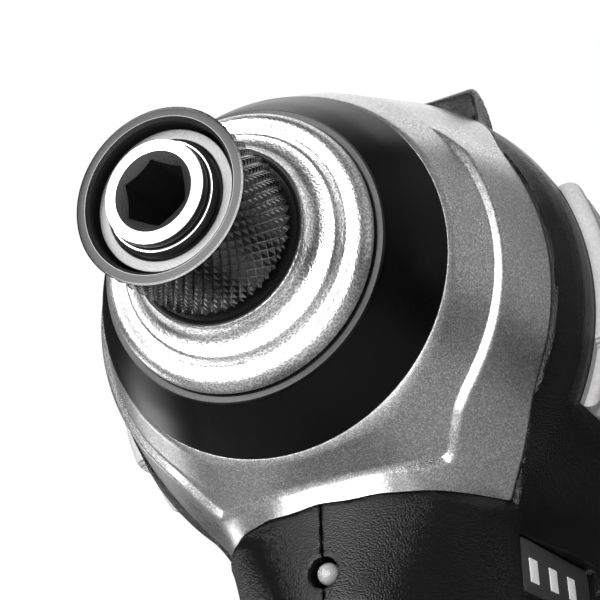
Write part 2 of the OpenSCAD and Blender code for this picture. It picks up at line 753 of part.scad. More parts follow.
module housing_outside() {
    barrel_solid(0);
    difference() {
        chin_prism(0, -chin_down, chin_up);
        cover_solid(seam);
        skirt_solid(seam);
    }
    upright_slot(neck_half, neck_front, neck_back, -neck_drop, -case_out_r);
    grip_prism(0, 0, grip_reach);
    plate_prism(0, foot_low, foot_top);
    cross_rod(boss_r, -shoulder_boss_half, shoulder_boss_half, boss_places[0][0], boss_places[0][1]);
}

module housing_inside() {
    lathe(concat([[0, barrel_start - over], [cover_back_r - wall, barrel_start - over]], barrel_points(-wall),
                 [[cap_r - wall, barrel_end + over], [0, barrel_end + over]]));
    chin_prism(wall, wall - chin_down, chin_up + over);
    upright_slot(neck_half - wall, neck_front, neck_back - wall, wall - neck_drop, -case_in_r);
    grip_prism(wall, 0, grip_reach - wall);
}

// Rings and bosses inside the shell that carry the case, the motor and the screws
rib_t = 2.5;
cap_screw_arm = motor_r + 2 * screw_r;
cap_screw_turns = [0, 180];
cap_screw_length = 14;
cap_screw_tip = 1;
cap_boss_length = 12;
cap_screw_seat = body_length - cap_length / 3;
module housing_ribs() intersection() {
    barrel_solid(-wall / 2);
    union() {
        for (s = [barrel_start, case_end - rib_t])
            ring(case_out_r, body_r, s, s + rib_t);
        for (s = [motor_start + rib_t, motor_end - 2 * rib_t])
            ring(motor_r, body_r, s, s + rib_t);
        for (turn = cap_screw_turns)
            rod(boss_r, barrel_end - cap_boss_length, barrel_end, cap_screw_arm, turn);
    }
}
module boss_cores() intersection() {
    housing_outside();
    for (b = boss_places)
        cross_rod(boss_r, -b[2], b[2], b[0], b[1]);
}

lead_r = 1.1;
lead_half = 5;
lead_drop = 2.4;
lead_s = neck_back - 2 * wall;
lead_z = -motor_r - lead_drop;
module housing_cuts() {
    block([-trigger_width / 2 - trigger_fit, trigger_front, trigger_low - trigger_fit],
          [trigger_width / 2 + trigger_fit, trigger_back + trigger_travel + over, trigger_top + trigger_fit]);
    block([-neck_half - over, slider_s - slider_depth / 2 - slider_fit,
           slider_z - slider_height / 2 - slider_fit],
          [neck_half + over, slider_s + slider_depth / 2 + slider_fit,
           slider_z + slider_height / 2 + slider_fit]);
    rod(light_hole_r, chin_front - 2 * wall, light_start + light_length, -light_z, 90);
    block([neck_half - gauge_sink - gauge_t, gauge_front, gauge_top - gauge_height],
          [neck_half + over, gauge_front + gauge_length, gauge_top]);
    block([neck_half - wall - over, gauge_front + gauge_rim, gauge_top - gauge_height + gauge_rim],
          [neck_half, gauge_front + gauge_length - gauge_rim, gauge_top - gauge_rim]);
    for (i = [0:vent_count - 1], x_from = [-body_r - over, motor_r])
        block([x_from, vent_start + i * vent_pitch, -vent_half],
              [x_from + body_r - motor_r + over, vent_start + i * vent_pitch + vent_width, vent_half]);
    foot_channel();
    for (x_from = [-foot_width / 2 - over, foot_width / 2 - insert_length])
        cross_rod(insert_r + seat, x_from, x_from + insert_length + over, insert_s, insert_z);
    for (x_from = [-foot_width / 2, foot_width / 2 - insert_length - insert_relief])
        cross_rod(insert_relief_r, x_from, x_from + insert_length + insert_relief, insert_s, insert_z);
    block([-board_half - board_room, chin_front + board_lead - board_room, board_room_low],
          [board_half + board_room, chin_front + board_lead + board_length + board_room,
           board_z + board_t + board_room]);
    for (b = boss_places) {
        cross_rod(screw_r + seat, -b[2] - over, b[2] - screw_tip + seat, b[0], b[1]);
        cross_rod(screw_head_r + seat, -body_r, screw_head_t - b[2], b[0], b[1]);
    }
    for (turn = cap_screw_turns)
        rod(screw_r + seat, barrel_end - cap_screw_length, barrel_end + over, cap_screw_arm, turn);
    block([-lead_half - 2 * lead_r, lead_s - 2 * lead_r, lead_z - 2 * lead_r],
          [lead_half + 2 * lead_r, motor_end + over, 0]);
}

module housing_shell() difference() {
    union() {
        difference() {
            housing_outside();
            housing_inside();
        }
        housing_ribs();
        boss_cores();
    }
    ring(0, case_out_r + seat, barrel_start - over, gearbox_end + seat);
    ring(0, motor_r + seat, gearbox_end, barrel_end + over);
    housing_cuts();
}

half_gap = 0.02;
module housing_left() color("#202020") intersection() {
    housing_shell();
    block([half_gap, 0, -axis_height], [2 * body_r, 2 * body_length, axis_height]);
}
module housing_right() color("#202020") intersection() {
    housing_shell();
    block([-2 * body_r, 0, -axis_height], [-half_gap, 2 * body_length, axis_height]);
}

module rear_cap() color("#202020") difference() {
    lathe(concat([[0, barrel_end + seam]], cap_points, [[0, body_length]]));
    difference() {
        lathe([[0, barrel_end], [cap_r - wall, barrel_end], [cap_r - wall, barrel_end + cap_length / 2],
               [cap_r / 2, body_length - wall], [0, body_length - wall]]);
        for (turn = cap_screw_turns)
            rod(boss_r, barrel_end, body_length, cap_screw_arm, turn);
    }
    ring(0, motor_r + seat, barrel_end, motor_end + end_cap_t + seat);
    for (turn = cap_screw_turns) {
        rod(screw_r + seat, barrel_end, body_length + over, cap_screw_arm, turn);
        rod(screw_head_r + seat, cap_screw_seat, body_length + over, cap_screw_arm, turn);
    }
}

module rear_cap_screws() color("silver")
    for (turn = cap_screw_turns) {
        rod(screw_r, barrel_end - cap_screw_length + cap_screw_tip, cap_screw_seat + screw_head_t,
            cap_screw_arm, turn);
        rod(screw_head_r, cap_screw_seat + seat, cap_screw_seat + screw_head_t, cap_screw_arm, turn);
    }

module housing_screws() color("silver")
    for (b = boss_places) {
        cross_rod(screw_r, -b[2], b[2] - screw_tip, b[0], b[1]);
        cross_rod(screw_head_r, -b[2], screw_head_t - b[2] - seat, b[0], b[1]);
    }

// Side panels that lie on the barrel
panel_t = 2.2;
panel_lead = 8.6;
panel_share = 0.75;
panel_top = 14;
panel_low = -18;
panel_start = barrel_start + panel_lead;
panel_end = barrel_start + panel_share * (barrel_end - barrel_start);
module panels(x_from, x_to) intersection() {
    difference() {
        barrel_solid(panel_t);
        barrel_solid(seat);
    }
    block([x_from, panel_start, panel_low], [x_to, panel_end, panel_top]);
}
module side_panel_left() color("lightgray") panels(0, 2 * body_r);
module side_panel_right() color("lightgray") panels(-2 * body_r, 0);

// Charge display, light and board in the neck
bar_count = 3;
bar_width = 3.9;
bar_height = 2.9;
bar_pitch = 8.5;
bar_lead = 3;
bar_stand = 0.15;
gauge_face = neck_half - gauge_sink;
gauge_z = gauge_top - gauge_height / 2;
module bars(low, high) for (i = [0:bar_count - 1])
    block([low, gauge_front + bar_lead + i * bar_pitch, gauge_z - bar_height / 2],
          [high, gauge_front + bar_lead + i * bar_pitch + bar_width, gauge_z + bar_height / 2]);
module gauge_window() color("dimgray") difference() {
    block([gauge_face - gauge_t + seat, gauge_front + seat, gauge_top - gauge_height + seat],
          [gauge_face, gauge_front + gauge_length - seat, gauge_top - seat]);
    bars(gauge_face - gauge_t / 2, neck_half);
}
module gauge_bars() color("white") bars(gauge_face - gauge_t / 2 + seat, gauge_face + bar_stand);

board_t = 1.6;
board_edge = 0.25;
board_room = board_edge / 2;
board_half = neck_half - wall - board_edge;
board_z = gauge_top - board_t;
board_room_low = min(board_z - board_room, wall / 2 - body_r - over);
board_lead = 22;
board_length = 30;
module control_board() color("green")
    block([-board_half, chin_front + board_lead, board_z],
          [board_half, chin_front + board_lead + board_length, board_z + board_t]);

module work_light() color("white") {
    rod(light_r, light_start + light_r, light_start + light_length, -light_z, 90);
    spindle() translate([0, -light_z, light_start + light_r]) sphere(r = light_r, $fn = round_sides);
}

// Trigger, switch and direction slider
trigger_shares = [[0.26, 1], [1, 1], [1, 0], [0.14, 0], [0, 0.1], [0.12, 0.4], [0.16, 0.7]];
trigger_points = [for (p = trigger_shares)
    [trigger_front + p[0] * trigger_depth, trigger_low + p[1] * trigger_height]];
stem_r = 2;
stem_z = trigger_top - trigger_height / 2;
switch_room = 4;
switch_front = trigger_back + trigger_travel + switch_room;
switch_length = 22;
switch_half = 8.5;
switch_ear_t = 4;
switch_drop = 1;
switch_top = trigger_top - switch_drop;
trigger_wire_r = 0.4;
trigger_spring_r = 3.4;
trigger_spring_turns = 5;
module trigger() color("#181818") {
    side_profile(trigger_points, trigger_width / 2);
    rod(stem_r, trigger_back - lap, switch_front + trigger_travel, -stem_z, 90);
}
module trigger_spring() color("silver")
    spindle() translate([0, -stem_z, trigger_back])
        coil(trigger_spring_r, trigger_wire_r, switch_front - trigger_back, trigger_spring_turns);
module switch_body() color("#303030") difference() {
    union() {
        block([-switch_half, switch_front, trigger_low],
              [switch_half, switch_front + switch_length, switch_top]);
        block([free_gap + wall - grip_half, switch_front + switch_length / 3, stem_z - switch_ear_t / 2],
              [grip_half - wall - free_gap, switch_front + 2 * switch_length / 3, stem_z + switch_ear_t / 2]);
    }
    rod(stem_r + free_gap, switch_front - over, switch_front + 2 * trigger_travel + over, -stem_z, 90);
}
module direction_slider() color("#404040")
    block([-neck_half - slider_reach, slider_s - slider_depth / 2, slider_z - slider_height / 2],
          [neck_half + slider_reach, slider_s + slider_depth / 2, slider_z + slider_height / 2]);

// Rubber pad on the back of the grip
pad_t = 0.8;
pad_from = 30;
pad_to = 88;
pad_share = 0.72;
module grip_pad() color("#101010") intersection() {
    difference() {
        grip_prism(-pad_t, pad_from, pad_to);
        grip_prism(-seat, pad_from - over, pad_to + over);
    }
    block([-body_r, grip_front + pad_share * grip_depth, -axis_height], [body_r, 2 * body_length, 0]);
}

// Wires from the switch up to the motor
lead_end_gap = 0.4;
lead_end = motor_end + end_cap_t / 2;
lead_bend = 3;
lead_points = [[lead_s, switch_top + lead_end_gap], [lead_s, lead_z - lead_bend],
               [lead_s + lead_bend, lead_z], [lead_end - lead_bend, lead_z],
               [lead_end, lead_z], [lead_end, lead_z + lead_r]];
module power_leads() color("firebrick")
    for (x = [-lead_half, lead_half])
        tool() wire([for (p = lead_points) [x, p[0], p[1]]], [for (p = lead_points) [1, 0, 0]], lead_r);

module clip_inserts() color("gold")
    for (x_from = [-foot_width / 2, foot_width / 2 - insert_length + seat])
        difference() {
            cross_rod(insert_r, x_from, x_from + insert_length - seat, insert_s, insert_z);
            cross_rod(insert_bore, x_from - over, x_from + insert_length + over, insert_s, insert_z);
        }

// Terminals: a block in the foot and two blades that enter slots in the battery's rail
blade_t_half = 0.4;
blade_arm = 8;
blade_length = 12;
blade_margin = 1;
blade_root = 3;
terminal_start = rail_end + 2 * rail_fit;
terminal_end = rail_end + terminal_t;
slot_half = 1.3;
contact_t = 0.4;
contact_short = 1;
module blades(half, low, high, s_from, s_to) for (x = [-blade_arm, blade_arm])
    block([x - half, s_from, low], [x + half, s_to, high]);
module terminal_block() color("#303030") difference() {
    block([-rail_head_half, terminal_start, rail_head_low], [rail_head_half, terminal_end, rail_top]);
    blades(blade_t_half + seat, rail_head_low + blade_margin - seat, rail_top - blade_margin + seat,
           terminal_start - over, terminal_start + blade_root + seat);
}
module terminal_blades() color("gold")
    blades(blade_t_half, rail_head_low + blade_margin, rail_top - blade_margin,
           terminal_start - blade_length, terminal_start + blade_root);

// Battery: base and lid, cells, contacts, latch
pack_low = -axis_height;
pack_wall = 2.4;
split_share = 0.63;
pack_split = pack_low + split_share * pack_height;
cell_pitch = 2 * cell_r + pack_gap;
cell_z = pack_low + pack_wall + cell_r + seat;
pack_front = base_middle - foot_length / 2;
pack_screw_x = foot_width / 2 - foot_corner / 2;
pack_screw_y = foot_length / 2 - foot_corner / 2;
pack_boss_r = 3;
pack_head_step = 0.5;
pack_head_r = screw_head_r - pack_head_step;
pack_head_sink = 1;
pack_screw_tip = 1;
latch_half = 9;
latch_depth = 5;
latch_stand = 0.6;
latch_fit = 0.35;
latch_block = 2;
latch_floor = pack_split + seam + latch_block;
latch_low = latch_floor + latch_travel + free_gap;
latch_top = pack_top - pack_gap;
latch_back = pack_front + latch_depth;
hook_half = 5;
hook_depth = 2;
hook_short = 1;
hook_top = rail_head_low - hook_short;
latch_wire_r = 0.35;
latch_spring_r = 1.7;
latch_spring_turns = 5;
latch_spring_s = pack_front + latch_depth / 2;
latch_pocket_share = 0.6;
latch_pocket_top = latch_low + latch_pocket_share * (latch_top - latch_low);
module at_pack_screws() for (x = [-pack_screw_x, pack_screw_x], y = [-pack_screw_y, pack_screw_y])
    translate([x, y, 0]) children();

module battery_base() color("#202020") difference() {
    union() {
        difference() {
            plate_prism(0, pack_low, pack_split);
            plate_prism(pack_wall, pack_low + pack_wall, pack_split + over);
        }
        at_pack_screws() post(pack_boss_r, 0, base_middle, pack_low + lap, pack_split);
    }
    at_pack_screws() {
        post(screw_r + seat, 0, base_middle, pack_low - over, pack_split + over);
        post(pack_head_r + seat, 0, base_middle, pack_low - over, pack_low + screw_head_t + pack_head_sink);
    }
}

module battery_lid() color("#202020") difference() {
    union() {
        difference() {
            plate_prism(0, pack_split + seam, pack_top);
            plate_prism(pack_wall, pack_split, pack_top - pack_wall);
        }
        at_pack_screws() post(pack_boss_r, 0, base_middle, pack_split + seam, pack_top - lap);
        block([-latch_half - latch_block, pack_front + lap, pack_split + seam],
              [latch_half + latch_block, latch_back + latch_block, pack_top]);
        block([-rail_neck_half, rail_start + latch_depth, pack_top - lap],
              [rail_neck_half, rail_end, rail_head_low + lap]);
        block([-rail_head_half, rail_start + latch_depth, rail_head_low],
              [rail_head_half, rail_end, rail_top]);
    }
    block([-latch_half - latch_fit, pack_front - over, latch_floor],
          [latch_half + latch_fit, latch_back + latch_fit, pack_top + over]);
    blades(slot_half, rail_head_low, rail_top + over, terminal_start - blade_length - over, rail_end + over);
    at_pack_screws() post(screw_r + seat, 0, base_middle, pack_split, pack_top - pack_wall);
}

module battery_cells() color("teal")
    for (x = [-cell_pitch, 0, cell_pitch])
        tool() translate([x, base_middle - cell_length / 2, cell_z]) rotate([-90, 0, 0])
            cylinder(r = cell_r, h = cell_length, $fn = round_sides);

module battery_contacts() color("gold")
    for (x = [-blade_arm - slot_half + seat, blade_arm + slot_half - contact_t - seat])
        block([x, terminal_start - blade_length, rail_head_low + seat],
              [x + contact_t, rail_end - contact_short, rail_top - contact_short]);

module battery_latch() color("#404040") difference() {
    union() {
        block([-latch_half, pack_front - latch_stand, latch_low], [latch_half, latch_back, latch_top]);
        block([-hook_half, latch_back - hook_depth, latch_top - lap], [hook_half, latch_back, hook_top]);
    }
    post(latch_spring_r + 2 * latch_wire_r, 0, latch_spring_s, latch_low - over, latch_pocket_top);
}
module latch_spring() color("silver")
    tool() translate([0, latch_spring_s, latch_floor])
        coil(latch_spring_r, latch_wire_r, latch_pocket_top - latch_floor, latch_spring_turns);

module battery_screws() color("silver") at_pack_screws() {
    post(screw_r, 0, base_middle, pack_low + screw_head_t, pack_top - pack_wall - pack_screw_tip);
    post(pack_head_r, 0, base_middle, pack_low + pack_head_sink,
         pack_low + screw_head_t + pack_head_sink - seat);
}

anvil();
locking_balls();
snap_ring();
sleeve_washer();
sleeve_spring();
sleeve();
front_bush();
hammer_case();
bumper_ring();
front_cover();
hammer();
hammer_spring();
cam_shaft();
cam_balls();
planet_pins();
carrier_plate();
planet_gear_1();
planet_gear_2();
planet_gear_3();
ring_gear();
carrier_bearing();
gearbox_plate();
pinion();
armature_shaft();
armature_core();
armature_windings();
commutator();
cooling_fan();
motor_can();
field_magnets();
motor_bearings();
motor_end_cap();
carbon_brushes();
power_leads();
housing_left();
housing_right();
rear_cap();
side_panel_left();
side_panel_right();
trigger();
trigger_spring();
switch_body();
direction_slider();
control_board();
work_light();
gauge_window();
gauge_bars();
grip_pad();
housing_screws();
rear_cap_screws();
clip_inserts();
terminal_block();
terminal_blades();
battery_base();
battery_lid();
battery_cells();
battery_contacts();
battery_latch();
latch_spring();
battery_screws();
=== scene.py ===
import math

import bmesh
import bpy
import numpy as np
from mathutils import Matrix, Vector


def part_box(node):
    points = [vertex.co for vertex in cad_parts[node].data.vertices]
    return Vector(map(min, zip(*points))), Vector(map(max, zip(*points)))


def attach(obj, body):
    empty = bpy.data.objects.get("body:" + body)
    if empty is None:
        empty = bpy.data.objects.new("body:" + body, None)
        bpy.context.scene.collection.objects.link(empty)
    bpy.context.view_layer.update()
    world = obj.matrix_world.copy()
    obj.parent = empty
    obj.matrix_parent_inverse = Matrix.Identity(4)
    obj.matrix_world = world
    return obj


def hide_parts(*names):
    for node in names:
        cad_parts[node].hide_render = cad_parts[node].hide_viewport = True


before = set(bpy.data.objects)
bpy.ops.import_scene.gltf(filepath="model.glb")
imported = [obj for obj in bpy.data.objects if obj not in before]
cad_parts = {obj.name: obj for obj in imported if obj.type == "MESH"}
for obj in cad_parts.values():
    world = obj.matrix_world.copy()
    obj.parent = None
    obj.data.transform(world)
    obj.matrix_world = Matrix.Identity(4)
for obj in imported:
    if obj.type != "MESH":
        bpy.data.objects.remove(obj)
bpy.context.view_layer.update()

# The viewer's place
# The tool's axes run across to its left, back from the sleeve's rim and up from the spindle, in millimetres.
# The camera stands ahead of the nose, to the tool's left and below the spindle, and looks up at the chuck.
mm = 0.001
rim_low, rim_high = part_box("sleeve")
tool_origin = np.array([0, rim_low.y, (rim_low.z + rim_high.z) / 2])


def placed(across, behind, above):
    """Points in the frame: millimetres across, behind the rim and above the spindle, times the unit, plus the
    rim's place."""
    return np.stack(np.broadcast_arrays(across, behind, above), axis=-1) * mm + tool_origin


camera_across, camera_behind, camera_above = 61.13, -122.84, -67.67
camera_spot = placed(camera_across, camera_behind, camera_above)
camera_sight = Vector((-0.33653, 0.86633, 0.36908)).normalized()
camera_top = Vector((0.26756, -0.28782, 0.91955)).normalized()
camera_lens = 91.6
camera_sensor = 36
camera_near = 10
camera = bpy.data.objects.new("camera", bpy.data.cameras.new("camera"))
camera.data.lens = camera_lens
camera.data.sensor_width = camera_sensor
camera.data.clip_start = camera_near * mm
camera_turn = Matrix((camera_sight.cross(camera_top), camera_top, -camera_sight)).transposed().to_4x4()
camera.matrix_world = Matrix.Translation(camera_spot) @ camera_turn
bpy.context.scene.collection.objects.link(camera)
bpy.context.scene.camera = camera

# The studio
# A pale floor, a white room that is bright to the eye and dim to the tool, and five soft boxes: a very large
# one ahead that whitens every face that looks forward, a small one above it, and weak ones left, right and
# overhead.
floor_half = 300
floor_shade, floor_rough = 0.42, 0.7


def feed(node, sockets):
    """Sets the sockets of a shader node: where the value is a socket of another node it is linked."""
    for socket, value in sockets.items():
        if isinstance(value, bpy.types.NodeSocket):
            node.id_data.links.new(value, node.inputs[socket])
        else:
            node.inputs[socket].default_value = value
    return node


def add_node(tree, kind, sockets, **choices):
    """A new shader node: first its choices are made, then its sockets are set or linked."""
    node = tree.nodes.new(kind)
    for choice, value in choices.items():
        setattr(node, choice, value)
    return feed(node, sockets)


floor = bpy.data.objects.new("floor", bpy.data.meshes.new("floor"))
floor_corners = np.array([[-1, -1, 0], [1, -1, 0], [1, 1, 0], [-1, 1, 0]]) * floor_half * mm
floor.data.from_pydata(floor_corners.tolist(), [], [[0, 1, 2, 3]])
bpy.context.scene.collection.objects.link(floor)
floor_finish = bpy.data.materials.new("pale_floor")
floor_finish.use_nodes = True
floor_shader = floor_finish.node_tree.nodes["Principled BSDF"]
feed(floor_shader, {"Base Color": (floor_shade, floor_shade, floor_shade, 1), "Roughness": floor_rough})
floor.data.materials.append(floor_finish)

room = bpy.data.worlds.new("white_room")
room.use_nodes = True
room_seen = 1.0
room_lit = 0.03
room_path = add_node(room.node_tree, "ShaderNodeLightPath", {})
room_level = add_node(room.node_tree, "ShaderNodeMapRange", {
    "Value": room_path.outputs["Is Camera Ray"], "To Min": room_lit, "To Max": room_seen})
room_shader = room.node_tree.nodes["Background"]
feed(room_shader, {"Color": (1, 1, 1, 1), "Strength": room_level.outputs["Result"]})
bpy.context.scene.world = room
bpy.context.scene.view_settings.view_transform = "Standard"

box_reach = 700
soft_boxes = (
    ("front_box", (-0.13, -0.9, -0.1), 1200, 1240, 29),
    ("key_box", (-0.36, -0.55, 0.75), 300, 300, 1.7),
    ("left_box", (-0.88, 0.46, -0.1), 180, 200, 0.45),
    ("right_box", (0.9, 0.3, 0.35), 600, 700, 0.6),
    ("top_box", (-0.05, 0.6, 0.75), 750, 600, 1.8),
)


def soft_box(name, toward, width, height, watts):
    """An area light that stands the boxes' reach from the nose along a direction and faces the nose."""
    lamp = bpy.data.objects.new(name, bpy.data.lights.new(name, "AREA"))
    lamp.data.shape = "RECTANGLE"
    lamp.data.size = width * mm
    lamp.data.size_y = height * mm
    lamp.data.energy = watts
    away = Vector(toward).normalized()
    facing = away.to_track_quat("Z", "Y").to_matrix().to_4x4()
    lamp.matrix_world = Matrix.Translation(Vector(tool_origin) + away * box_reach * mm) @ facing
    lamp.visible_camera = False
    bpy.context.scene.collection.objects.link(lamp)


for box_name, box_toward, box_width, box_height, box_watts in soft_boxes:
    soft_box(box_name, box_toward, box_width, box_height, box_watts)

# Anvil
# The hardened spindle that the hammer strikes: turned and ground steel with a broached hexagon socket,
# a countersunk mouth, a journal that runs in the front bush, and two wings at its back.
touch = 0.0002
crease_angle = 35


def settled(name, mesh, crease, flat=0):
    """A piece from a mesh: doubles are merged, faces within the flat angle are made one, and faces are smooth
    between edges sharper than the crease; both angles are in degrees."""
    shell = bmesh.new()
    shell.from_mesh(mesh)
    bmesh.ops.remove_doubles(shell, verts=shell.verts, dist=touch * mm)
    if flat > 0:
        bmesh.ops.dissolve_limit(shell, angle_limit=math.radians(flat), verts=shell.verts, edges=shell.edges)
    shell.to_mesh(mesh)
    shell.free()
    mesh.shade_smooth()
    mesh.set_sharp_from_angle(angle=math.radians(crease))
    piece = bpy.data.objects.new(name, mesh)
    bpy.context.scene.collection.objects.link(piece)
    return piece


def poured(name, points, quads, crease=crease_angle):
    """A piece from a list of points and of four-sided faces."""
    mesh = bpy.data.meshes.new(name)
    mesh.vertices.add(len(points))
    mesh.vertices.foreach_set("co", np.ascontiguousarray(points, dtype=np.float32).ravel())
    mesh.loops.add(quads.size)
    mesh.loops.foreach_set("vertex_index", np.ascontiguousarray(quads, dtype=np.int32).ravel())
    mesh.polygons.add(len(quads))
    mesh.polygons.foreach_set("loop_start", np.arange(0, quads.size, 4, dtype=np.int32))
    mesh.update(calc_edges=True)
    return settled(name, mesh, crease)


def skin(name, points, rows_close=False, crease=crease_angle):
    """A closed surface over rows of points: each row runs round in a loop and is joined to the next by
    four-sided faces, and to the first from the last where the rows close. The volume's sign turns the faces
    outwards."""
    rows, columns = points.shape[:2]
    number = np.arange(rows * columns).reshape(rows, columns)
    here = number if rows_close else number[:-1]
    ahead = np.roll(number, -1, axis=0) if rows_close else number[1:]
    here_on, ahead_on = np.roll(here, -1, axis=1), np.roll(ahead, -1, axis=1)
    quads = np.stack([here, here_on, ahead_on, ahead], axis=-1).reshape(-1, 4)
    flat = points.reshape(-1, 3)
    a, b, c, d = (flat[quads[:, i]] for i in range(4))
    volume = np.sum(a * np.cross(b, c)) + np.sum(a * np.cross(c, d))
    return poured(name, flat, quads if volume > 0 else quads[:, ::-1], crease)


cloud_scale, grain_detail = 90, 3
cloud_low, cloud_high = 0.3, 0.7
ramp_ends = {"noise": (0.3, 0.7), "pebbles": (0.3, 0.7), "flakes": (0.4, 1.0)}
edge_low, edge_high = 0.53, 0.62
worn_gain, worn_lift = 1.8, 0.04
rough_spread, least_rough = 0.08, 0.03


def finish(name, shade, metallic, rough, grain, spread=0.15, grain_kind="noise", stretch=(1, 1, 1), wear=0.0,
           gloss=0.5):
    """A surface: a fine grain, given as its size and depth, of noise, flat flakes or round pebbles shifts the
    shade and lifts the normal, a broad cloud shifts the roughness, and sharp outer edges are worn a little
    lighter."""
    grain_size, grain_depth = grain
    material = bpy.data.materials.new(name)
    material.use_nodes = True
    tree = material.node_tree
    place = add_node(tree, "ShaderNodeTexCoord", {}).outputs["Object"]
    turn = add_node(tree, "ShaderNodeMapping", {"Vector": place, "Scale": stretch})
    fit = {"Vector": turn.outputs["Vector"], "Scale": 1 / (grain_size * mm)}
    if grain_kind == "noise":
        height = add_node(tree, "ShaderNodeTexNoise", {**fit, "Detail": grain_detail}).outputs["Fac"]
    if grain_kind == "pebbles":
        height = add_node(tree, "ShaderNodeTexVoronoi", fit).outputs["Distance"]
    if grain_kind == "flakes":
        flakes = add_node(tree, "ShaderNodeTexVoronoi", fit).outputs["Color"]
        height = add_node(tree, "ShaderNodeSeparateColor", {"Color": flakes}).outputs["Red"]
    cloud = add_node(tree, "ShaderNodeTexNoise", {"Vector": place, "Scale": cloud_scale}).outputs["Fac"]
    ramp = add_node(tree, "ShaderNodeValToRGB", {"Fac": height})
    shade = np.broadcast_to(np.asarray(shade, float), 3)
    dark, light = ramp.color_ramp.elements
    dark.color = (*np.clip(shade * (1 - spread), 0, 1), 1)
    light.color = (*np.clip(shade * (1 + spread), 0, 1), 1)
    dark.position, light.position = ramp_ends[grain_kind]
    colour = ramp.outputs["Color"]
    if wear > 0:
        form = add_node(tree, "ShaderNodeNewGeometry", {})
        edge = add_node(tree, "ShaderNodeMapRange", {
            "Value": form.outputs["Pointiness"], "From Min": edge_low, "From Max": edge_high, "To Max": wear})
        patch = add_node(tree, "ShaderNodeMath", {0: edge.outputs["Result"], 1: cloud}, operation="MULTIPLY")
        bare = (*np.clip(shade * worn_gain + worn_lift, 0, 1), 1)
        worn = add_node(tree, "ShaderNodeMix", {"Factor": patch.outputs["Value"], "A": colour, "B": bare},
                        data_type="RGBA")
        colour = worn.outputs["Result"]
    satin = add_node(tree, "ShaderNodeMapRange", {
        "Value": cloud, "From Min": cloud_low, "From Max": cloud_high,
        "To Min": max(rough - rough_spread, least_rough), "To Max": min(rough + rough_spread, 1)})
    relief = add_node(tree, "ShaderNodeBump", {"Height": height, "Distance": grain_depth * mm},
                      invert=grain_kind == "pebbles")
    feed(tree.nodes["Principled BSDF"], {
        "Metallic": metallic, "Specular IOR Level": gloss, "Base Color": colour,
        "Roughness": satin.outputs["Result"], "Normal": relief.outputs["Normal"]})
    return material


def dress(piece, material, body, slot, *nodes):
    """Gives a piece its finish and its body, and hides the model's nodes that it stands for. The slot is not
    used.
    """
    piece.data.materials.clear()
    piece.data.materials.append(material)
    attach(piece, body)
    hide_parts(*nodes)
    return piece


def second_finish(piece, material, chosen):
    """Gives another finish to the faces whose middles, as behind and out from the spindle, pass a test."""
    piece.data.materials.append(material)
    middle = np.empty(len(piece.data.polygons) * 3)
    piece.data.polygons.foreach_get("center", middle)
    across, behind, above = ((middle.reshape(-1, 3) - tool_origin) / mm).T
    index = chosen(behind, np.hypot(across, above)).astype(np.int32) * (len(piece.data.materials) - 1)
    before = np.empty(len(piece.data.polygons), np.int32)
    piece.data.polygons.foreach_get("material_index", before)
    piece.data.polygons.foreach_set("material_index", np.where(index > 0, index, before).astype(np.int32))


def coat(material, *nodes):
    """Gives a finish to solids that stay as the model gives them."""
    for node in nodes:
        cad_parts[node].data.materials.clear()
        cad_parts[node].data.materials.append(material)


def turned(rows, steps, above=0):
    """Rows of points round the spindle, or a line above or below it: each row has a place behind the rim
    and a radius, which is one for all or one for each step of the turn."""
    angle = np.linspace(0, 2 * math.pi, steps, endpoint=False)
    return np.stack([placed(radius * np.cos(angle), behind, above + radius * np.sin(angle))
                     for behind, radius in rows])


ground_grain, mouth_grain, black_steel_grain = (0.15, 0.004), (0.2, 0.06), (0.14, 0.03)
ground_steel = finish("ground_steel", 0.9, 1.0, 0.34, ground_grain, spread=0.06)
mouth_steel = finish("mouth_steel", 0.006, 0.0, 0.5, mouth_grain, spread=0.6, gloss=0.2)
black_steel = finish("black_steel", 0.02, 0.6, 0.4, black_steel_grain, spread=0.5, gloss=0.3)
turn_steps = 240
turn_angle = np.linspace(0, 2 * math.pi, turn_steps, endpoint=False)
socket_half = 3.2
socket_floor = 20
sixth = math.pi / 3
socket_wall = socket_half / np.cos((turn_angle + sixth / 2) % sixth - sixth / 2)
anvil_face = -1.0
mouth_radius = 4.31
mouth_steep_share = 0.65
mouth_floor = anvil_face + mouth_steep_share * (mouth_radius - socket_wall)
shank_radius = 5.59
shank_ease = 0.18
face_end = anvil_face + shank_ease
ring_groove_low, ring_groove_high = 0.1, 0.9
ring_groove_depth = 0.5
groove_radius = shank_radius - ring_groove_depth
journal_front, journal_radius = 13.5, 7.0
collar_front, collar_radius = 25.4, 9.2
wing_front, anvil_back = 27.0, 32.5
wing_radius = 15.5
wing_half_angle = math.radians(19)
pilot_radius, pilot_floor = 3.05, 25.5
wing_offset = np.abs((turn_angle + math.pi / 2) % math.pi - math.pi / 2)
winged = np.where(wing_offset < wing_half_angle, wing_radius, collar_radius)
anvil_rows = [
    (socket_floor, 0), (socket_floor, socket_wall), (mouth_floor, socket_wall), (anvil_face, mouth_radius),
    (anvil_face, shank_radius - shank_ease), (anvil_face + shank_ease / 3, shank_radius - shank_ease / 3),
    (face_end, shank_radius), (ring_groove_low, shank_radius), (ring_groove_low, groove_radius),
    (ring_groove_high, groove_radius), (ring_groove_high, shank_radius), (journal_front, shank_radius),
    (journal_front, journal_radius), (collar_front, journal_radius), (collar_front, collar_radius),
    (wing_front, collar_radius), (wing_front, winged), (anvil_back, winged), (anvil_back, pilot_radius),
    (pilot_floor, pilot_radius), (pilot_floor, 0)]
anvil_skin = skin("anvil_piece", turned(anvil_rows, turn_steps))
anvil = dress(anvil_skin, black_steel, "anvil", "tool_steel", "anvil")
second_finish(anvil, ground_steel, lambda behind, out: (behind < face_end) & (out > mouth_radius))
# Painted light: the countersunk mouth gets its own copy of the blackened steel, with its shade set for the
# little light that reaches the steep cone.
second_finish(anvil, mouth_steel,
              lambda behind, out: (behind < 0) & (out < mouth_radius) & (out > socket_half))
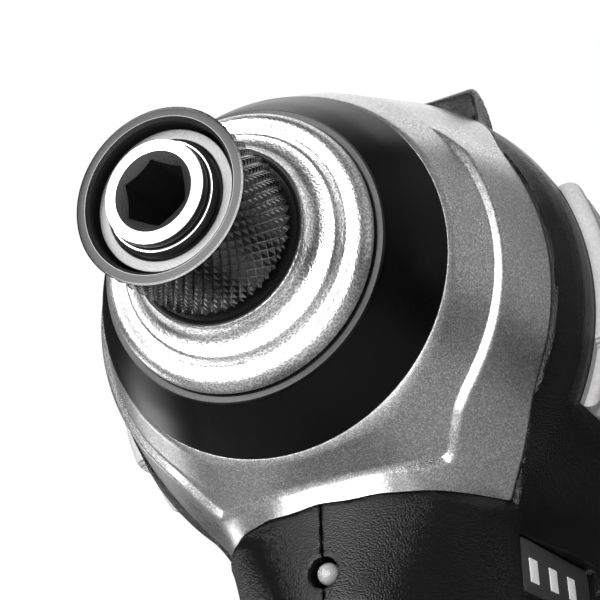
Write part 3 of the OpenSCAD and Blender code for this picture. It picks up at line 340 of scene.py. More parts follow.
coat(ground_steel, "locking_balls")

# Snap ring, washer and spring of the chuck
# A blackened ring snaps into the anvil's groove and holds a dished washer, and the sleeve's spring bears on
# it;
# a polished band on its front outer edge is a painted highlight. All three are spring steel: the wire
# polished, the washer tumbled grey.
wire_grain, tumbled_grain = (0.2, 0.002), (0.12, 0.02)
polished_wire = finish("polished_wire", 0.75, 1.0, 0.16, wire_grain, spread=0.08)
tumbled_steel = finish("tumbled_steel", 0.165, 1.0, 0.4, tumbled_grain, spread=0.2)


def eased(corners, steps=6):
    """A closed outline whose every corner (behind, radius, ease) becomes a parabola between the points that
    lie an ease, or at most half an edge, away from it on both edges."""
    corners = np.asarray(corners, float)
    at, ease = corners[:, :2], corners[:, 2]
    back, on = np.roll(at, 1, axis=0) - at, np.roll(at, -1, axis=0) - at
    back_length, on_length = np.linalg.norm(back, axis=1), np.linalg.norm(on, axis=1)
    start = at + back * (np.minimum(ease, back_length / 2) / back_length)[:, None]
    end = at + on * (np.minimum(ease, on_length / 2) / on_length)[:, None]
    t = np.linspace(0, 1, steps)[None, :, None]
    bend = (1 - t) ** 2 * start[:, None] + 2 * t * (1 - t) * at[:, None] + t ** 2 * end[:, None]
    return bend.reshape(-1, 2)


snap_corners = ((1.08, 5.2, 0.03), (0.5, 5.2, 0.03), (0.34, 5.72, 0.05), (0.34, 5.94, 0.08),
                (0.75, 6.25, 0.15), (1.08, 6.25, 0.05))
snap_highlight_behind, snap_highlight_out = 0.42, 5.74
snap_skin = skin("snap_ring_piece", turned(eased(snap_corners), turn_steps), rows_close=True)
snap_ring = dress(snap_skin, black_steel, "anvil", "bright_steel", "snap_ring")
# Painted highlight: the ring's front outer corner gets the polished finish, which stands for the thin line of
# light on that edge.
second_finish(snap_ring, polished_wire,
              lambda behind, out: (behind < snap_highlight_behind) & (out > snap_highlight_out))

washer_out, washer_face_out, washer_face_in, washer_dish = 7.65, 1.52, 1.45, 6.5
washer_floor, washer_in, washer_back = 2.0, 5.65, 2.2
washer_slope = 0.3
washer_face_ease, washer_dish_ease, washer_ease, washer_edge = 0.12, 0.15, 0.1, 0.02
washer_corners = (
    (washer_face_out, washer_out, washer_face_ease), (washer_face_in, washer_dish, washer_dish_ease),
    (washer_floor, washer_dish - washer_slope, washer_ease), (washer_floor, washer_in, washer_edge),
    (washer_back, washer_in, washer_edge), (washer_back, washer_out, washer_ease))
washer_skin = skin("sleeve_washer_piece", turned(eased(washer_corners), turn_steps), rows_close=True)
dress(washer_skin, tumbled_steel, "anvil", "spring_steel", "sleeve_washer")
coat(polished_wire, "sleeve_spring")

# Sleeve
# The knurled ring that is pulled forward to free the bit: turned steel with a black oxide skin.
# The knurl is two sets of crossing helical grooves, so it stands as small pyramids; the rim is worn grey.
oxide_grain, rim_grain = (0.12, 0.012), (0.14, 0.012)
oxide_steel = finish("oxide_steel", 0.1, 1.0, 0.22, oxide_grain, spread=0.35)
rim_steel = finish("rim_steel", 0.055, 1.0, 0.42, rim_grain, spread=0.12)
knurl_starts, knurl_steps = 50, 12
knurl_lean = math.radians(30)
knurl_depth = 0.48
crest_share = 1.08
sleeve_crest = 9.5
sleeve_back = 11.5
rim_inner, rim_outer, rim_end = 8.42, 9.46, 0.2
chamber_radius, chamber_back, throat_radius = 8.1, 9.5, 5.75
rim_bevel = 0.35
rim_highlight_line, rim_chamfer = 0.07, 0.2
rim_face = rim_chamfer / 5
knurl_front, knurl_back = 0.3, 11.4
back_bevel, back_lip, back_ease = 0.6, 0.05, 0.1
sleeve_steps = knurl_starts * knurl_steps
knurl_pitch = 2 * math.pi * sleeve_crest / knurl_starts / math.tan(knurl_lean)
knurl_s = np.arange(knurl_front, knurl_back, knurl_pitch / knurl_steps)
round_share = np.arange(sleeve_steps)[None, :] / knurl_steps
along_share = (knurl_s[:, None] - knurl_front) / knurl_pitch
right_hand = 1 - np.abs(2 * ((round_share + along_share) % 1) - 1)
left_hand = 1 - np.abs(2 * ((round_share - along_share) % 1) - 1)
knurl_height = np.minimum(right_hand, left_hand)
knurl_radius = sleeve_crest - knurl_depth * (1 - np.minimum(knurl_height * crest_share, 1))
sleeve_rows = [
    (chamber_back, chamber_radius), (rim_bevel, chamber_radius), (0, rim_inner), (0, rim_inner + rim_highlight_line),
    (0, rim_outer - rim_chamfer), (rim_chamfer / 2, rim_outer), (rim_end, rim_outer),
    (knurl_front, sleeve_crest - knurl_depth)]
sleeve_rows += list(zip(knurl_s, knurl_radius))
sleeve_rows += [
    (sleeve_back - back_lip, sleeve_crest - back_bevel),
    (sleeve_back, sleeve_crest - back_bevel - back_ease),
    (sleeve_back, throat_radius), (chamber_back, throat_radius)]
sleeve_skin = skin("sleeve_piece", turned(sleeve_rows, sleeve_steps), rows_close=True)
sleeve = dress(sleeve_skin, oxide_steel, "sleeve", "blackened_steel", "sleeve")
second_finish(sleeve, rim_steel, lambda behind, out: (behind < rim_face) & (out < rim_outer - rim_chamfer))
# Painted highlight: a thin ring at the inner edge of the rim's face gets the lighter tumbled finish, which
# stands for the line of light on that edge.
second_finish(sleeve, tumbled_steel, lambda behind, out: (behind < rim_face) & (out < rim_inner + rim_highlight_line))
# Painted shade: the inside of the sleeve behind the rim gets the darker black steel finish, which stands for
# the shade in its chamber.
second_finish(sleeve, black_steel, lambda behind, out: (behind > rim_end / 3) & (out < rim_inner))

# Hammer case and front bush
# A pressure die casting in light alloy, bead blasted: its nose flares from the chuck to a rounded bead,
# and behind a thin gap a turned lip carries the rubber ring. The bronze bush is pressed into its bore.
blasted_grain, turned_grain, bronze_grain = (0.26, 0.03), (0.2, 0.01), (0.3, 0.01)
blasted_alloy = finish("blasted_alloy", 0.72, 1.0, 0.37, blasted_grain, spread=0.35, grain_kind="pebbles")
turned_alloy = finish("turned_alloy", 0.045, 1.0, 0.38, turned_grain, spread=0.15)
bronze = finish("bronze", (0.42, 0.25, 0.1), 1.0, 0.35, bronze_grain)
nose_corners = (
    (13.45, 7.35, 0.05), (13.05, 7.35, 0.05), (13.05, 9.4, 0.1), (12.7, 9.6, 0.3), (12.6, 10.2, 0.5),
    (14.4, 10.8, 1.3), (15.1, 12.1, 0.6), (15.15, 12.75, 0.45), (16.3, 13.55, 0.5), (16.3, 13.95, 0.4),
    (15.85, 14.55, 0.45), (16.2, 15.35, 0.5), (17.0, 15.95, 0.5), (18.0, 16.1, 0.1), (18.05, 15.3, 0.02),
    (18.6, 15.3, 0.02), (18.36, 16.3, 0.04), (18.34, 16.95, 0.1), (18.6, 17.05, 0.1), (18.94, 17.05, 0.05),
    (18.94, 15.95, 0.05), (25.64, 20.6, 0.2), (31.8, 23.0, 0.5), (78.4, 23.0, 0.3), (78.4, 20.5, 0.2),
    (33.0, 20.5, 0.3), (33.0, 16.5, 0.2), (25.1, 16.5, 0.2), (25.1, 9.53, 0.05), (13.45, 9.53, 0.05))
case_steps = 288
case_shade_behind, case_shade_out = 13.5, 10.15
lip_front, lip_back, lip_out = 18.2, 19, 15.4
case_skin = skin("hammer_case_piece", turned(eased(nose_corners), case_steps), rows_close=True)
case = dress(case_skin, blasted_alloy, "housing", "blasted_alloy", "hammer_case")
# Painted shade: the nose's front face and its recess, inside the gap behind the sleeve, get the black steel
# finish, which stands for the shade there.
second_finish(case, black_steel, lambda behind, out: (behind < case_shade_behind) & (out < case_shade_out))
second_finish(case, turned_alloy,
              lambda behind, out: (behind > lip_front) & (behind < lip_back) & (out > lip_out))
coat(bronze, "front_bush")

# Bumper ring
# A moulded ring of black rubber that guards the nose: two cones that meet in a soft ridge.
# It is stretched over the case and sits behind the turned lip.
rubber_grain = (0.5, 0.006)
black_rubber = finish("black_rubber", 0.0015, 0.0, 0.3, rubber_grain, spread=0.3, gloss=0.16)
ring_corners = ((18.97, 15.98, 0.05), (18.97, 16.95, 0.12), (21.9, 19.3, 1.2), (25.45, 21.68, 0.12),
                (25.62, 21.6, 0.08), (25.62, 20.65, 0.05))
ring_bend_steps = 8
ring_points = turned(eased(ring_corners, ring_bend_steps), case_steps)
ring_skin = skin("bumper_ring_piece", ring_points, rows_close=True)
dress(ring_skin, black_rubber, "housing", "black_rubber", "bumper_ring")

# Front cover
# A thin moulded shell in sparkling silver paint: a cone behind the rubber ring, a small step that runs down
# each side, a flank behind it, and a visor that flares over the chin. The tables go by the angle from below.
paint_grain = (0.12, 0.015)
silver_paint = finish("silver_paint", 0.58, 0.94, 0.31, paint_grain, spread=0.36, grain_kind="flakes")
cover_front, cover_front_radius = 25.7, 21.7
cover_slope = 0.516
cover_wall = 1.5
cover_steps, cover_bend_steps = 540, 7
cover_crease = 75
cover_angle = np.linspace(-math.pi, math.pi, cover_steps, endpoint=False)
from_below = np.abs(np.degrees(cover_angle))
ridge_table = np.array([
    (0, 30.1), (10, 30.6), (17.5, 31.9), (22, 33.0), (26, 34.2), (31, 35.8), (33, 35.4), (37, 33.9),
    (42, 32.5), (47, 32.0), (53, 31.85), (180, 31.85)])
edge_table = np.array([
    (0, 30.9, 26.2), (14.4, 32.3, 27.15), (23.6, 35.4, 28.85), (29, 39.5, 30.7), (32.9, 46.8, 32.5),
    (37, 45.8, 31.4), (42, 44.7, 30.65), (47, 43.2, 30.0), (53, 41.7, 29.35), (57, 41.1, 29.1),
    (62, 41.0, 29.0), (112, 41.0, 29.0), (119, 41.6, 29.2), (124, 43.4, 29.9), (129, 45.8, 30.7),
    (135, 47.6, 31.05), (145, 48.6, 31.2), (180, 48.8, 31.2)])
step_shares = np.array([(0, 0.3), (20, 0.35), (31, 1.0), (114, 1.0), (127, 0.0), (180, 0.0)])
step_rise, step_run = 0.95, 0.4
ridge_ease, shoulder_ease = 0.15, 0.4
soft_crease, soft_from, soft_run = 0.5, 30, 12
fine_turns = np.linspace(-20, 200, 2201)
mean_reach = 15
tip_turn, tip_spread, tip_reach, edge_reach = 32.9, 5.0, 12, 50


def along(angle, table, column, reach=mean_reach):
    """A size read off a table by the angle from straight below, with the table's bends softened by a running
    mean that reaches so many tenths of a degree to each side."""
    rough = np.interp(np.abs(fine_turns), table[:, 0], table[:, column])
    window = np.hanning(2 * reach + 1)
    soft = np.convolve(np.pad(rough, reach, mode="edge"), window / window.sum(), mode="valid")
    return np.interp(angle, fine_turns, soft)


def bent_path(stops, eases, steps):
    """Paths of many columns at once through the same number of stops: each inner stop becomes a parabola."""
    rows = [stops[0]]
    for i in range(1, len(stops) - 1):
        back, on = stops[i - 1] - stops[i], stops[i + 1] - stops[i]
        back_length, on_length = np.linalg.norm(back, axis=-1), np.linalg.norm(on, axis=-1)
        ease = np.minimum(eases[i - 1], np.minimum(back_length, on_length) / 2)
        start = stops[i] + back * (ease / back_length)[:, None]
        end = stops[i] + on * (ease / on_length)[:, None]
        for t in np.linspace(0, 1, steps):
            rows.append((1 - t) ** 2 * start + 2 * t * (1 - t) * stops[i] + t ** 2 * end)
    return rows + [stops[-1]]


def brim(angle, column):
    """The cover's rear edge: its table read with a broad mean, and a narrow one near the visor's two tips."""
    share = np.clip(np.abs(angle - tip_turn) / tip_spread, 0, 1)
    broad, narrow = along(angle, edge_table, column, edge_reach), along(angle, edge_table, column, tip_reach)
    return broad * share + narrow * (1 - share)


ridge_behind = along(from_below, ridge_table, 1)
ridge_radius = cover_front_radius + cover_slope * (ridge_behind - cover_front)
edge_behind, edge_radius = brim(from_below, 1), brim(from_below, 2)
step_share = along(from_below, step_shares, 1)
front_stop = np.stack([cover_front + 0 * cover_angle, cover_front_radius + 0 * cover_angle], axis=-1)
ridge_stop = np.stack([ridge_behind, ridge_radius], axis=-1)
edge_stop = np.stack([edge_behind, edge_radius], axis=-1)
step_up = np.stack([step_run + 0 * step_share, cover_slope * step_run + step_rise * step_share], axis=-1)
shoulder_stop = ridge_stop + step_up
crease_ease = ridge_ease + soft_crease * np.clip((soft_from - from_below) / soft_run, 0, 1)
cover_stops = [front_stop, ridge_stop, shoulder_stop, edge_stop]
bent_rows = bent_path(cover_stops, [crease_ease, shoulder_ease], cover_bend_steps)
front_rim, front_lip, front_inside = np.array([0.05, -0.25]), np.array([0, -0.06]), np.array([0.1, -1.0])
back_rim, back_run = np.array([0.12, -0.15]), 0.12
cone_shares = (0.25, 0.5, 0.75)
rim_share = 0.03
outer_rows = [front_stop + front_rim, front_stop + front_lip, bent_rows[0]]
outer_rows += [front_stop + (bent_rows[1] - front_stop) * share for share in cone_shares]
outer_rows += bent_rows[1:-1]
outer_rows += [edge_stop + (bent_rows[-2] - edge_stop) * rim_share, bent_rows[-1]]
inward = np.array([0, -cover_wall])
inner_rows = [edge_stop + back_rim, edge_stop + np.array([back_run, -cover_wall]), shoulder_stop + inward,
              ridge_stop + inward, front_stop + front_inside]
cover_behind, cover_radius = np.moveaxis(np.stack(outer_rows + inner_rows), -1, 0)
cover_points = placed(cover_radius * np.sin(cover_angle), cover_behind, -cover_radius * np.cos(cover_angle))
cover_skin = skin("front_cover_piece", cover_points, rows_close=True, crease=cover_crease)
dress(cover_skin, silver_paint, "housing", "silver_paint", "front_cover")

# Impact mechanism
# The hammer, its heavy spring, the cam shaft and the two balls that ride between them, all hardened steel,
# stay as the model gives them; they lie inside the hammer case.
forged_grain = (0.6, 0.03)
forged_steel = finish("forged_steel", 0.2, 0.9, 0.45, forged_grain, spread=0.25, wear=0.4)
coat(forged_steel, "hammer", "cam_shaft")
coat(polished_wire, "hammer_spring", "cam_balls")

# Reduction gears
# A pinion on the motor shaft, three planets on the carrier's pins and a fixed ring: cut teeth in sintered,
# oiled steel. The carrier runs in a ball bearing.
gear_grain = (0.25, 0.01)
gear_steel = finish("gear_steel", 0.4, 1.0, 0.32, gear_grain, spread=0.2, wear=0.4)
coat(gear_steel, "pinion", "planet_gear_1", "planet_gear_2", "planet_gear_3", "ring_gear")
coat(forged_steel, "carrier_plate")
coat(polished_wire, "planet_pins", "carrier_bearing")

# Motor
# A plated can with two magnets, wound armature, copper commutator, carbon brushes in a moulded end cap,
# a fan, and two leads down to the switch.
can_grain, ferrite_grain, copper_grain, inner_grain, lead_grain = (
    (0.3, 0.006), (0.25, 0.03), (0.35, 0.05), (0.4, 0.01), (0.5, 0.01))
plated_can = finish("plated_can", 0.55, 1.0, 0.3, can_grain, spread=0.1)
ferrite = finish("ferrite", 0.05, 0.2, 0.6, ferrite_grain, spread=0.3)
copper = finish("copper", (0.6, 0.28, 0.13), 1.0, 0.3, copper_grain, stretch=(1, 0.15, 1))
inner_plastic = finish("inner_plastic", 0.06, 0.0, 0.5, inner_grain, spread=0.2)
lead_skin = finish("lead_skin", (0.25, 0.03, 0.03), 0.0, 0.4, lead_grain)
coat(plated_can, "motor_can")
coat(ferrite, "field_magnets", "carbon_brushes")
coat(forged_steel, "armature_core")
coat(polished_wire, "armature_shaft", "motor_bearings")
coat(copper, "armature_windings", "commutator")
coat(inner_plastic, "motor_end_cap", "gearbox_plate", "cooling_fan")
coat(lead_skin, "power_leads")

# Housing
# Two halves moulded in glass-filled black nylon, screwed together across the seam: barrel, chin, neck, grip
# and foot run into each other in wide fillets, so the shape is a field whose zero is the skin, meshed on a
# fine lattice.
nylon_grain = (0.22, 0.07)
black_nylon = finish("black_nylon", 0.004, 0.0, 0.2, nylon_grain, spread=0.3, gloss=0.26,
                     grain_kind="pebbles")
shell_wall = 3
barrel_front, barrel_back, barrel_lead = 41.35, 126, 1
barrel_table = np.array([
    (40, 28.4), (41.3, 28.8), (41.6, 29.55), (42.0, 29.6), (42.35, 29.15), (43.2, 29.5), (45, 30.7),
    (46.6, 31.45), (48.4, 31.85), (52.4, 32.0), (64, 31.9), (77, 31.5), (102, 29.92), (127, 28.6)])
crown_drop, crown_from, crown_run = 1.0, 6, 18
chin_behind, chin_above, chin_half = 29.3, -34.2, 17.5
chin_lean = math.radians(15)
chin_foot, chin_top, chin_run, chin_edge = -6.5, 16, 46, 3.5
chin_taper_share = 0.55
chin_wide, chin_wide_above, chin_taper_reach, chin_taper_near, chin_taper_drop = 18.7, -28, 18, 4, 12
neck_front, neck_rear, neck_half, neck_floor, neck_roof, neck_edge = 48.9, 99.3, 17.5, -47, -18, 4
grip_front, grip_depth, grip_half, grip_roof, grip_sink = 54.5, 42, 17, -20.5, 4
grip_lean = math.radians(5)
foot_floor, foot_roof, foot_middle, foot_edge = -137.6, -122, 84, 2
foot_half_width, foot_half_length, foot_corner = 31, 42, 10
chin_blend, grip_blend, foot_blend, barrel_blend = 4, 5, 9, 5
case_bore, motor_bore, bore_change = 23.03, 18.63, 84.96
front_room, rear_room, room_reach = 26, 25.6, 3
rib_thickness, rib_radius = 2.5, 30.5
rib_places = (barrel_front, 75.9, 87.4, 121.9)
boss_radius, screw_hole, head_hole, hole_floor, head_depth = 3.6, 1.53, 2.93, 2, 2.2
shoulder_radius, shoulder_edge, shoulder_blend = 4.3, 0.8, 1.2
boss_places = ((52.15, 24.0, 22.3), (46.1, -41.6, 12), (100.1, -118.4, 12), (70.3, -114.8, 12))
wall_ease, hole_ease = 0.3, 0.2
cover_gap, cover_ease = 0.3, 0.15
visor_room, visor_from, visor_run = 2.2, 24, 6
hand_slots = (((-7, 42.5, -74.5), (7, 68, -48.5), 1.5, 0.6),
              ((-40, 64.95, -44.35), (40, 77.65, -38.65), 1.0, 0.4))
rail_slots = (((-14.4, 40, -140), (14.4, 112.4, -134), 0.3, 0.3),
              ((-18.4, 40, -134.8), (18.4, 119.4, -128), 0.3, 0.3))
light_hole, light_floor, light_ease = 1.75, 38, 0.3
gauge_front, gauge_back, gauge_low, gauge_high = 48.3, 80.2, -37.7, -30.9
gauge_slant_share = 0.35
gauge_lead, gauge_room, gauge_floor, gauge_beyond = 0.15, 0.2, 15.8, 30
gauge_slot_corner, gauge_slot_ease = 0.3, 0.25
vent_count, vent_front, vent_width, vent_pitch = 4, 109.3, 2.2, 4.4
vent_half, vent_beyond, vent_corner, vent_ease = 11, 40, 1.0, 0.5
insert_behind, insert_above, insert_radius, insert_inside = 102, -126.5, 3.03, 23.5
seam_half = 0.13
housing_crease = 42


def joined(a, b, blend):
    """Smooth union of two fields: the smaller, less a fillet where they lie within a blend of each other."""
    near = np.clip(blend - np.abs(a - b), 0, None)
    return np.minimum(a, b) - near * near / (4 * blend)


def carved(a, b, blend):
    """The first field with the second taken out of it, its edge eased by the blend."""
    return -joined(-a, b, blend)


def bar(x, s, up, low, high, corner):
    """Field of a box between two corners, with rounded edges."""
    centre, half = (np.array(low) + high) / 2, (np.array(high, float) - low) / 2 - corner
    dx = np.abs(x - centre[0]) - half[0]
    ds = np.abs(s - centre[1]) - half[1]
    du = np.abs(up - centre[2]) - half[2]
    outside = np.sqrt(np.maximum(dx, 0) ** 2 + np.maximum(ds, 0) ** 2 + np.maximum(du, 0) ** 2)
    return outside + np.minimum(np.maximum(dx, np.maximum(ds, du)), 0) - corner


def slotted(field, x, s, up, slots):
    """A field with boxes carved from it: each slot has a low and a high corner, a rounding and an ease."""
    for low, high, corner, ease in slots:
        field = carved(field, bar(x, s, up, low, high, corner), ease)
    return field


def capped(side, end, corner):
    """A wall field and an end field met in a rounded edge."""
    return np.minimum(np.maximum(side, end) + corner, 0) + np.sqrt(
        np.maximum(side + corner, 0) ** 2 + np.maximum(end + corner, 0) ** 2) - corner


def barrel_field(x, s, up):
    """Distance from the spindle less the barrel's radius at that place, closed at both ends."""
    radius = np.interp(s, barrel_table[:, 0], barrel_table[:, 1])
    radius = radius - crown_drop * np.clip((up - crown_from) / crown_run, 0, 1) ** 2
    return np.maximum(np.hypot(x, up) - radius, np.maximum(barrel_front - s, s - barrel_back))


def chin_field(x, s, up):
    """A round-fronted prism leaned back by the chin's lean, its width falling a little towards its foot."""
    back = (s - chin_behind) * math.cos(chin_lean) - (up - chin_above) * math.sin(chin_lean)
    rise = (s - chin_behind) * math.sin(chin_lean) + (up - chin_above) * math.cos(chin_lean)
    drop = np.clip(chin_wide_above - up, 0, chin_taper_drop)
    near = np.clip((chin_taper_reach - back) / (chin_taper_reach - chin_taper_near), 0, 1)
    fade = near * near * (3 - 2 * near)
    half = chin_half + (chin_wide - chin_half - chin_taper_share * drop) * fade
    squeezed = x * chin_half / half
    plan = np.where(back < chin_half, np.hypot(squeezed, back - chin_half), np.abs(squeezed)) - chin_half
    plan = np.maximum(plan, back - chin_run)
    return capped(plan, np.maximum(chin_foot - rise, rise - chin_top), chin_edge)


def neck_field(x, s, up):
    """An upright slot-shaped prism under the barrel."""
    middle, reach = (neck_front + neck_rear) / 2, (neck_rear - neck_front) / 2 - neck_half
    plan = np.hypot(x, np.maximum(np.abs(s - middle) - reach, 0)) - neck_half
    return capped(plan, np.maximum(neck_floor - up, up - neck_roof), neck_edge)


def grip_field(x, s, up):
    """A slot-shaped prism that leans back on its way down to the foot."""
    back = (s - grip_front) * math.cos(grip_lean) + (up - grip_roof) * math.sin(grip_lean)
    drop = (s - grip_front) * math.sin(grip_lean) - (up - grip_roof) * math.cos(grip_lean)
    reach = grip_depth / 2 - grip_half
    plan = np.hypot(x, np.maximum(np.abs(back - grip_depth / 2) - reach, 0)) - grip_half
    return np.maximum(plan, np.maximum(-drop, foot_floor + grip_sink - up))


def foot_field(x, s, up):
    """A plate with round corners and eased edges."""
    dx = np.abs(x) - foot_half_width + foot_corner
    ds = np.abs(s - foot_middle) - foot_half_length + foot_corner
    plan = np.hypot(np.maximum(dx, 0), np.maximum(ds, 0)) + np.minimum(np.maximum(dx, ds), 0) - foot_corner
    return capped(plan, np.maximum(foot_floor - up, up - foot_roof), foot_edge)


def under_cover(x, s, up):
    """Field of the room that the front cover takes: ahead of its rear edge, outside the line of its inner
    wall and inside a radius that opens out beyond the visor."""
    out = np.hypot(x, up)
    turn = np.degrees(np.arctan2(np.abs(x), -up))
    brim_behind, brim_radius = brim(turn, 1), brim(turn, 2)
    crease_behind = along(turn, ridge_table, 1)
    crease_radius = cover_front_radius + cover_slope * (crease_behind - cover_front)
    flank_run = brim_behind - crease_behind
    lined = crease_radius + (brim_radius - crease_radius) * (s - crease_behind) / flank_run
    beyond = brim_radius + cover_gap + visor_room * np.clip((turn - visor_from) / visor_run, 0, 1)
    between = np.maximum(lined - cover_wall - cover_gap - out, out - beyond)
    return np.maximum(s - brim_behind - cover_gap, between)


def housing_field(x, s, up):
    """Negative inside the moulded wall: barrel, chin, neck, grip and foot joined by fillets, hollowed by the
    wall, with ribs and bosses left standing and every opening carved."""
    lower = joined(chin_field(x, s, up), neck_field(x, s, up), chin_blend)
    lower = joined(lower, grip_field(x, s, up), grip_blend)
    stem = joined(lower, foot_field(x, s, up), foot_blend)
    barrel = barrel_field(x, s, up)
    skin_field = np.where(s > barrel_front - barrel_lead, joined(barrel, stem, barrel_blend), stem)
    shoulder_behind, shoulder_above, shoulder_half = boss_places[0]
    across = np.hypot(s - shoulder_behind, up - shoulder_above) - shoulder_radius
    skin_field = joined(skin_field, capped(across, np.abs(x) - shoulder_half, shoulder_edge), shoulder_blend)
    from_axis = np.hypot(x, up)
    hollow = np.maximum(joined(barrel, lower, barrel_blend) + shell_wall, foot_roof - up)
    hollow = np.minimum(hollow, np.maximum(from_axis - front_room, np.abs(s - barrel_front) - room_reach))
    hollow = np.minimum(hollow, np.maximum(from_axis - rear_room, np.abs(s - barrel_back) - room_reach))
    for place in rib_places:
        rib = np.maximum(np.abs(s - place - rib_thickness / 2) - rib_thickness / 2, from_axis - rib_radius)
        hollow = np.maximum(hollow, -rib)
    for behind, above, half in boss_places:
        post = np.maximum(np.hypot(s - behind, up - above) - boss_radius, np.abs(x) - half)
        hollow = np.maximum(hollow, -post)
    hollow = np.minimum(hollow, from_axis - np.where(s < bore_change, case_bore, motor_bore))
    body = carved(skin_field, hollow, wall_ease)
    body = carved(body, under_cover(x, s, up), cover_ease)
    body = slotted(body, x, s, up, hand_slots)
    body = carved(body, np.maximum(np.hypot(x, up - chin_above) - light_hole, s - light_floor), light_ease)
    slanted = s - gauge_slant_share * (up - gauge_high - gauge_room / 2)
    gauge_slot = bar(x, slanted, up, (gauge_floor, gauge_front - gauge_lead, gauge_low - gauge_room),
                     (gauge_beyond, gauge_back + gauge_room, gauge_high + gauge_room), gauge_slot_corner)
    body = carved(body, gauge_slot, gauge_slot_ease)
    for i in range(vent_count):
        start = vent_front + vent_pitch * i
        vent_low, vent_high = (motor_bore, start, -vent_half), (vent_beyond, start + vent_width, vent_half)
        body = slotted(body, np.abs(x), s, up, ((vent_low, vent_high, vent_corner, vent_ease),))
    body = slotted(body, x, s, up, rail_slots)
    insert = np.hypot(s - insert_behind, up - insert_above) - insert_radius
    body = carved(body, np.maximum(insert, insert_inside - np.abs(x)), hole_ease)
    for behind, above, half in boss_places:
        core = np.hypot(s - behind, up - above)
        thread = np.maximum(core - screw_hole, np.abs(x) - half + hole_floor)
        head = np.maximum(core - head_hole, x + half - head_depth)
        body = carved(body, np.minimum(thread, head), hole_ease)
    return body


def lattice_skin(field, xs, ss, ups):
    """The zero surface of a field on a lattice: a point in each cell that the surface crosses, at the mean of
    the crossings on the cell's edges and then drawn on to the surface along the field's slope, and a face
    across each lattice edge whose ends lie on opposite sides."""
    axes = [np.asarray(a, np.float64) for a in (xs, ss, ups)]
    value = field(*np.meshgrid(*axes, indexing="ij")).astype(np.float64)
    inside = value < 0
    cells = tuple(n - 1 for n in value.shape)
    offsets = np.array([(i, j, k) for i in (0, 1) for j in (0, 1) for k in (0, 1)])
    held = sum(inside[i:i + cells[0], j:j + cells[1], k:k + cells[2]].astype(np.int8) for i, j, k in offsets)
    index = np.argwhere((held > 0) & (held < 8))
    corner = index[:, None, :] + offsets[None]
    corner_value = value[corner[..., 0], corner[..., 1], corner[..., 2]]
    corner_place = np.stack([axes[a][corner[..., a]] for a in range(3)], axis=-1)
    total, count = np.zeros((len(index), 3)), np.zeros(len(index))
    for a in range(8):
        for b in range(a + 1, 8):
            if np.abs(offsets[a] - offsets[b]).sum() != 1:
                continue
            va, vb = corner_value[:, a], corner_value[:, b]
            cross = (va < 0) != (vb < 0)
            t = np.where(cross, va / np.where(cross, va - vb, 1), 0)
            meet = corner_place[:, a] + t[:, None] * (corner_place[:, b] - corner_place[:, a])
            total += np.where(cross[:, None], meet, 0)
            count += cross
    points = total / count[:, None]
    reach = (corner_place[:, 7] - corner_place[:, 0]) / 2
    probe, least_slope, draws = 0.02, 0.2, 2
    for _ in range(draws):
        here = field(points[:, 0], points[:, 1], points[:, 2])
        slopes = [(field(*(points + probe * np.eye(3)[a]).T) - here) / probe for a in range(3)]
        slope = np.stack(slopes, axis=-1)
        step = -here[:, None] * slope / np.maximum((slope ** 2).sum(1), least_slope)[:, None]
        points = points + np.clip(step, -reach, reach)
    number = np.full(cells, -1, np.int64)
    number[tuple(index.T)] = np.arange(len(index))
    quads = []
    for axis in range(3):
        p, q = (axis + 1) % 3, (axis + 2) % 3
        low = [slice(1, n - 1) for n in value.shape]
        high = list(low)
        low[axis], high[axis] = slice(0, value.shape[axis] - 1), slice(1, value.shape[axis])
        start, end = inside[tuple(low)], inside[tuple(high)]
        for flips, mask in ((False, start & ~end), (True, ~start & end)):
            edge = np.argwhere(mask)
            edge[:, p] += 1
            edge[:, q] += 1
            ring = []
            for dp, dq in ((-1, -1), (0, -1), (0, 0), (-1, 0)):
                at = edge.copy()
                at[:, p] += dp
                at[:, q] += dq
                ring.append(number[tuple(at.T)])
            ring = np.stack(ring, axis=-1)
            quads.append(ring[:, ::-1] if flips else ring)
    return points, np.concatenate(quads)


def spaced(stretches):
    """Lattice lines: each stretch (from, to, spacing) is cut into equal steps."""
    lines = [np.linspace(a, b, max(int(round((b - a) / step)), 1) + 1) for a, b, step in stretches]
    return np.unique(np.round(np.concatenate(lines), 4))


stretches_behind = ((26, 28.2, 0.8), (28.2, 32, 0.3), (32, 35, 0.42), (35, 41, 0.55), (41, 43.4, 0.27),
                    (43.4, 60, 0.5), (60, 82, 1.05), (82, 128, 1.4))
stretches_above = ((-139, -118, 1.0), (-118, -50, 1.45), (-50, -39, 0.65), (-39, -30, 0.34), (-30, -22, 0.48),
                   (-22, 20, 1.0), (20, 34, 0.7))
stretches_across = ((-0.4, 2.3, 0.27), (2.3, 13, 0.75), (13, 15.4, 0.4), (15.4, 18.6, 0.25), (18.6, 35, 0.8))
housing_lines = [spaced(stretches) for stretches in (stretches_across, stretches_behind, stretches_above)]
for side, node in ((1, "housing_left"), (-1, "housing_right")):
    half_field = lambda x, s, up, side=side: np.maximum(housing_field(side * x, s, up), seam_half - x)
    points, quads = lattice_skin(half_field, *housing_lines)
    points = placed(side * points[:, 0], points[:, 1], points[:, 2])
    half_piece = poured(node + "_piece", points, quads if side > 0 else quads[:, ::-1], housing_crease)
    dress(half_piece, black_nylon, "housing", "black_nylon", node)

